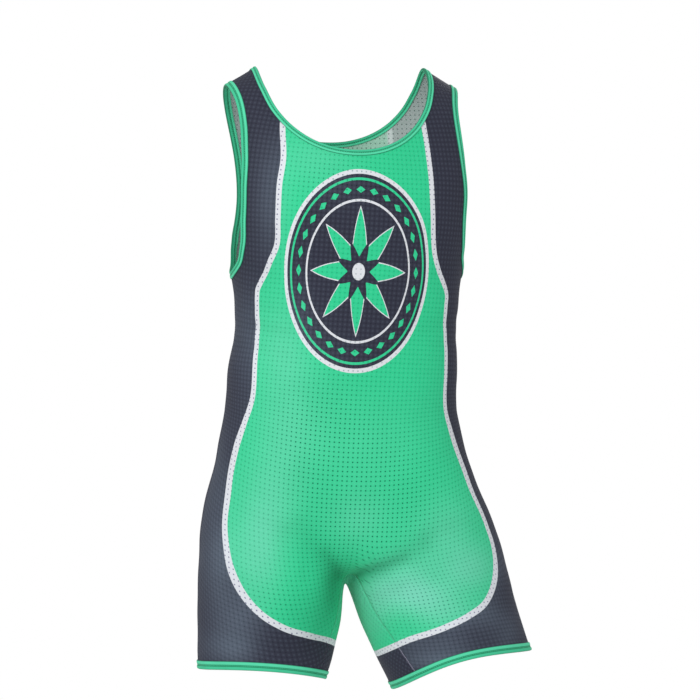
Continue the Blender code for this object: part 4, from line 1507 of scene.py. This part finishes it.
def surround():
    """White to the camera, and a softer white that lights the garment."""
    scene = bpy.context.scene
    scene.world = bpy.data.worlds.new("studio")
    scene.world.use_nodes = True
    tree = scene.world.node_tree
    soft = tree.nodes["Background"]
    soft.inputs["Color"].default_value = (1, 1, 1, 1)
    soft.inputs["Strength"].default_value = SURROUND
    white = tree.nodes.new("ShaderNodeBackground")
    path = tree.nodes.new("ShaderNodeLightPath")
    both = tree.nodes.new("ShaderNodeMixShader")
    white.inputs["Color"].default_value = (1, 1, 1, 1)
    tree.links.new(path.outputs["Is Camera Ray"], both.inputs[0])
    tree.links.new(soft.outputs[0], both.inputs[1])
    tree.links.new(white.outputs[0], both.inputs[2])
    tree.links.new(both.outputs[0], tree.nodes["World Output"].inputs["Surface"])


def pale_floor():
    """A round floor, well below the garment."""
    mesh = bpy.data.meshes.new("floor")
    body = bmesh.new()
    bmesh.ops.create_circle(body, cap_ends=True, radius=FLOOR_RADIUS, segments=FLOOR_SIDES)
    body.to_mesh(mesh)
    body.free()
    floor = added("floor", mesh)
    floor.location = (0, 0, FLOOR_HEIGHT)
    pale = Tree("pale_floor", FLOOR_ROUGHNESS)
    cloud = pale.node("ShaderNodeTexNoise", Scale=FLOOR_CLOUD).outputs["Fac"]
    pale.colour(pale.mix(cloud, *FLOOR_TONES))
    mesh.materials.append(pale.material)


def studio():
    bpy.context.scene.view_settings.view_transform = "Standard"
    surround()
    for row in LIGHTS:
        light(*row)
    pale_floor()


# ---------------------------------------------------------------- the whole garment
class Lines:
    """Every line of the garment on the figure."""

    def __init__(self):
        self.neck = neck_line()
        self.centre = {face: centre_line(face, self.neck[face, "right"][0]) for face in NECK_DROP}
        self.armhole = {name: armhole_line(name) for name in SIDES}
        self.hem = {name: hem_line(name) for name in SIDES}
        self.seams = {}
        for name in SIDES:
            self.seams[name] = seam_lines(name, self.hem[name], self.armhole[name]["front"][0])
        self.stripes = stripe_lines()
        self.rings = self.binding_rings()
        self.edges = {}  # the panels' raw edges, inside the bindings
        for key, (line, toward, width) in self.rings.items():
            self.edges[key] = edge_strip(line, toward, width - RAW_EDGE)

    def binding_rings(self):
        """Closed binding lines, each with a place toward its opening and its width."""
        rings = {"neck": (neck_ring(self.neck), np.array((0.0, 0.0, NECK_ABOVE)), NECK_WIDTH)}
        for name, side in SIDES.items():
            arm, hem = self.armhole[name], self.hem[name]
            arm_ring = closed_ring(arm["front"], arm["back"][::-1])
            beside = np.array((side * RAY_FROM, 0.0, UNDERARM[2] / 2))
            rings["armhole_" + name] = (arm_ring, beside, ARMHOLE_WIDTH)
            leg_ring = closed_ring(hem["front"], hem["back"][::-1])
            below = leg_ring.mean(axis=0) - np.array((0.0, 0.0, RAY_FROM))
            rings["leg_" + name] = (leg_ring, below, HEM_WIDTH)
        return rings

    def half_panel(self, name, face):
        """The lines round half of a panel."""
        inseam, side_seam = self.seams[name]
        return {
            "hem": self.hem[name][face],
            "inseam": inseam,
            "side": side_seam[face],
            "centre": self.centre[face],
            "neck": self.neck[face, name],
            "armhole": self.armhole[name][face],
        }


def seam_threads(lines):
    """The cover threads of all six seams."""
    dark_thread = thread_material("seam_thread", DARK_THREAD)
    covers = []
    for name in SIDES:
        inseam, side_seam = lines.seams[name]
        top, end = lines.neck["front", name][-1], lines.armhole[name]["front"][-1]
        # On the right cuff the thread is darkened with painted shade.
        leg_thread = thread_material(f"inseam_{name}_thread", LEG_THREAD, CUFF_THREAD_LIT_AND_SHADED[name])
        runs = (
            ("inseam", inseam, leg_thread),
            ("side", side_seam["front"], dark_thread),
            ("shoulder", np.linspace(top, end, DENSE), dark_thread),
        )
        for place, line, thread in runs:
            cover = flat_seam(f"{place}_{name}_seam", line, SEAM_HALF_WIDTH[place], thread)
            off = stripe_distance(vertex_points(cover.data), *lines.stripes)
            set_attribute(cover.data, "stripe", off)
            covers.append(cover)
    return covers


def panel(face, lines):
    """One panel's sheet, with the values that its print reads at each point."""
    grids = []
    for name in SIDES:
        sheet = fine_half(name, face, lines.half_panel(name, face))
        grids += [sheet, *edge_grids(name, face, sheet, lines.rings, lines.edges)]
    for grid in grids:
        there = ~np.isnan(grid[..., 0])
        grid[there] = dressed(grid[there])[0]
    piece = grid_mesh(face + "_cloth", grids)
    (width, length), area = lay_flat(piece, face)

    mesh = piece.data
    points = vertex_points(mesh)
    crisp = LEAST_CRISP + soft_spots(points, CRISP[face])
    # Painted shade: deeper in the creases, and on the inner thighs.
    painted_shade = crease_depth(points) / DEEPEST_CREASE + soft_spots(points, PAINTED_SHADE_SPOTS[face])
    set_attribute(mesh, "stripe", stripe_distance(points, *lines.stripes))
    set_attribute(mesh, "pale", soft_spots(points, PALE_AND_LIT_SPOTS[face]))
    set_attribute(mesh, "crisp", np.minimum(crisp, 1.0))
    set_attribute(mesh, "painted_shade", np.clip(painted_shade, 0.0, 1.0))
    thicken(piece, PANEL_WALL, 0, panel_material(face), inside_material(face))

    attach(piece, "root")
    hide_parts(face + "_panel")


def bindings(lines):
    """Every binding, with its rows of stitches."""
    cloth = binding_material()
    thread = thread_material("binding_thread", BINDING_GREEN)
    for key, (line, toward, width) in lines.rings.items():
        place, _, side = key.partition("_")
        piece, across, along = binding(key + "_fold", line, toward, width, cloth)
        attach(piece, "root")
        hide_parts(place + "_binding" + ("_" + side if side else ""))
        row = groove_stitches(key + "_stitches", line, toward, width, thread)


def main():
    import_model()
    camera()
    studio()
    lines = Lines()
    covers = seam_threads(lines)
    for face in ("front", "back"):
        panel(face, lines)
    bindings(lines)


main()
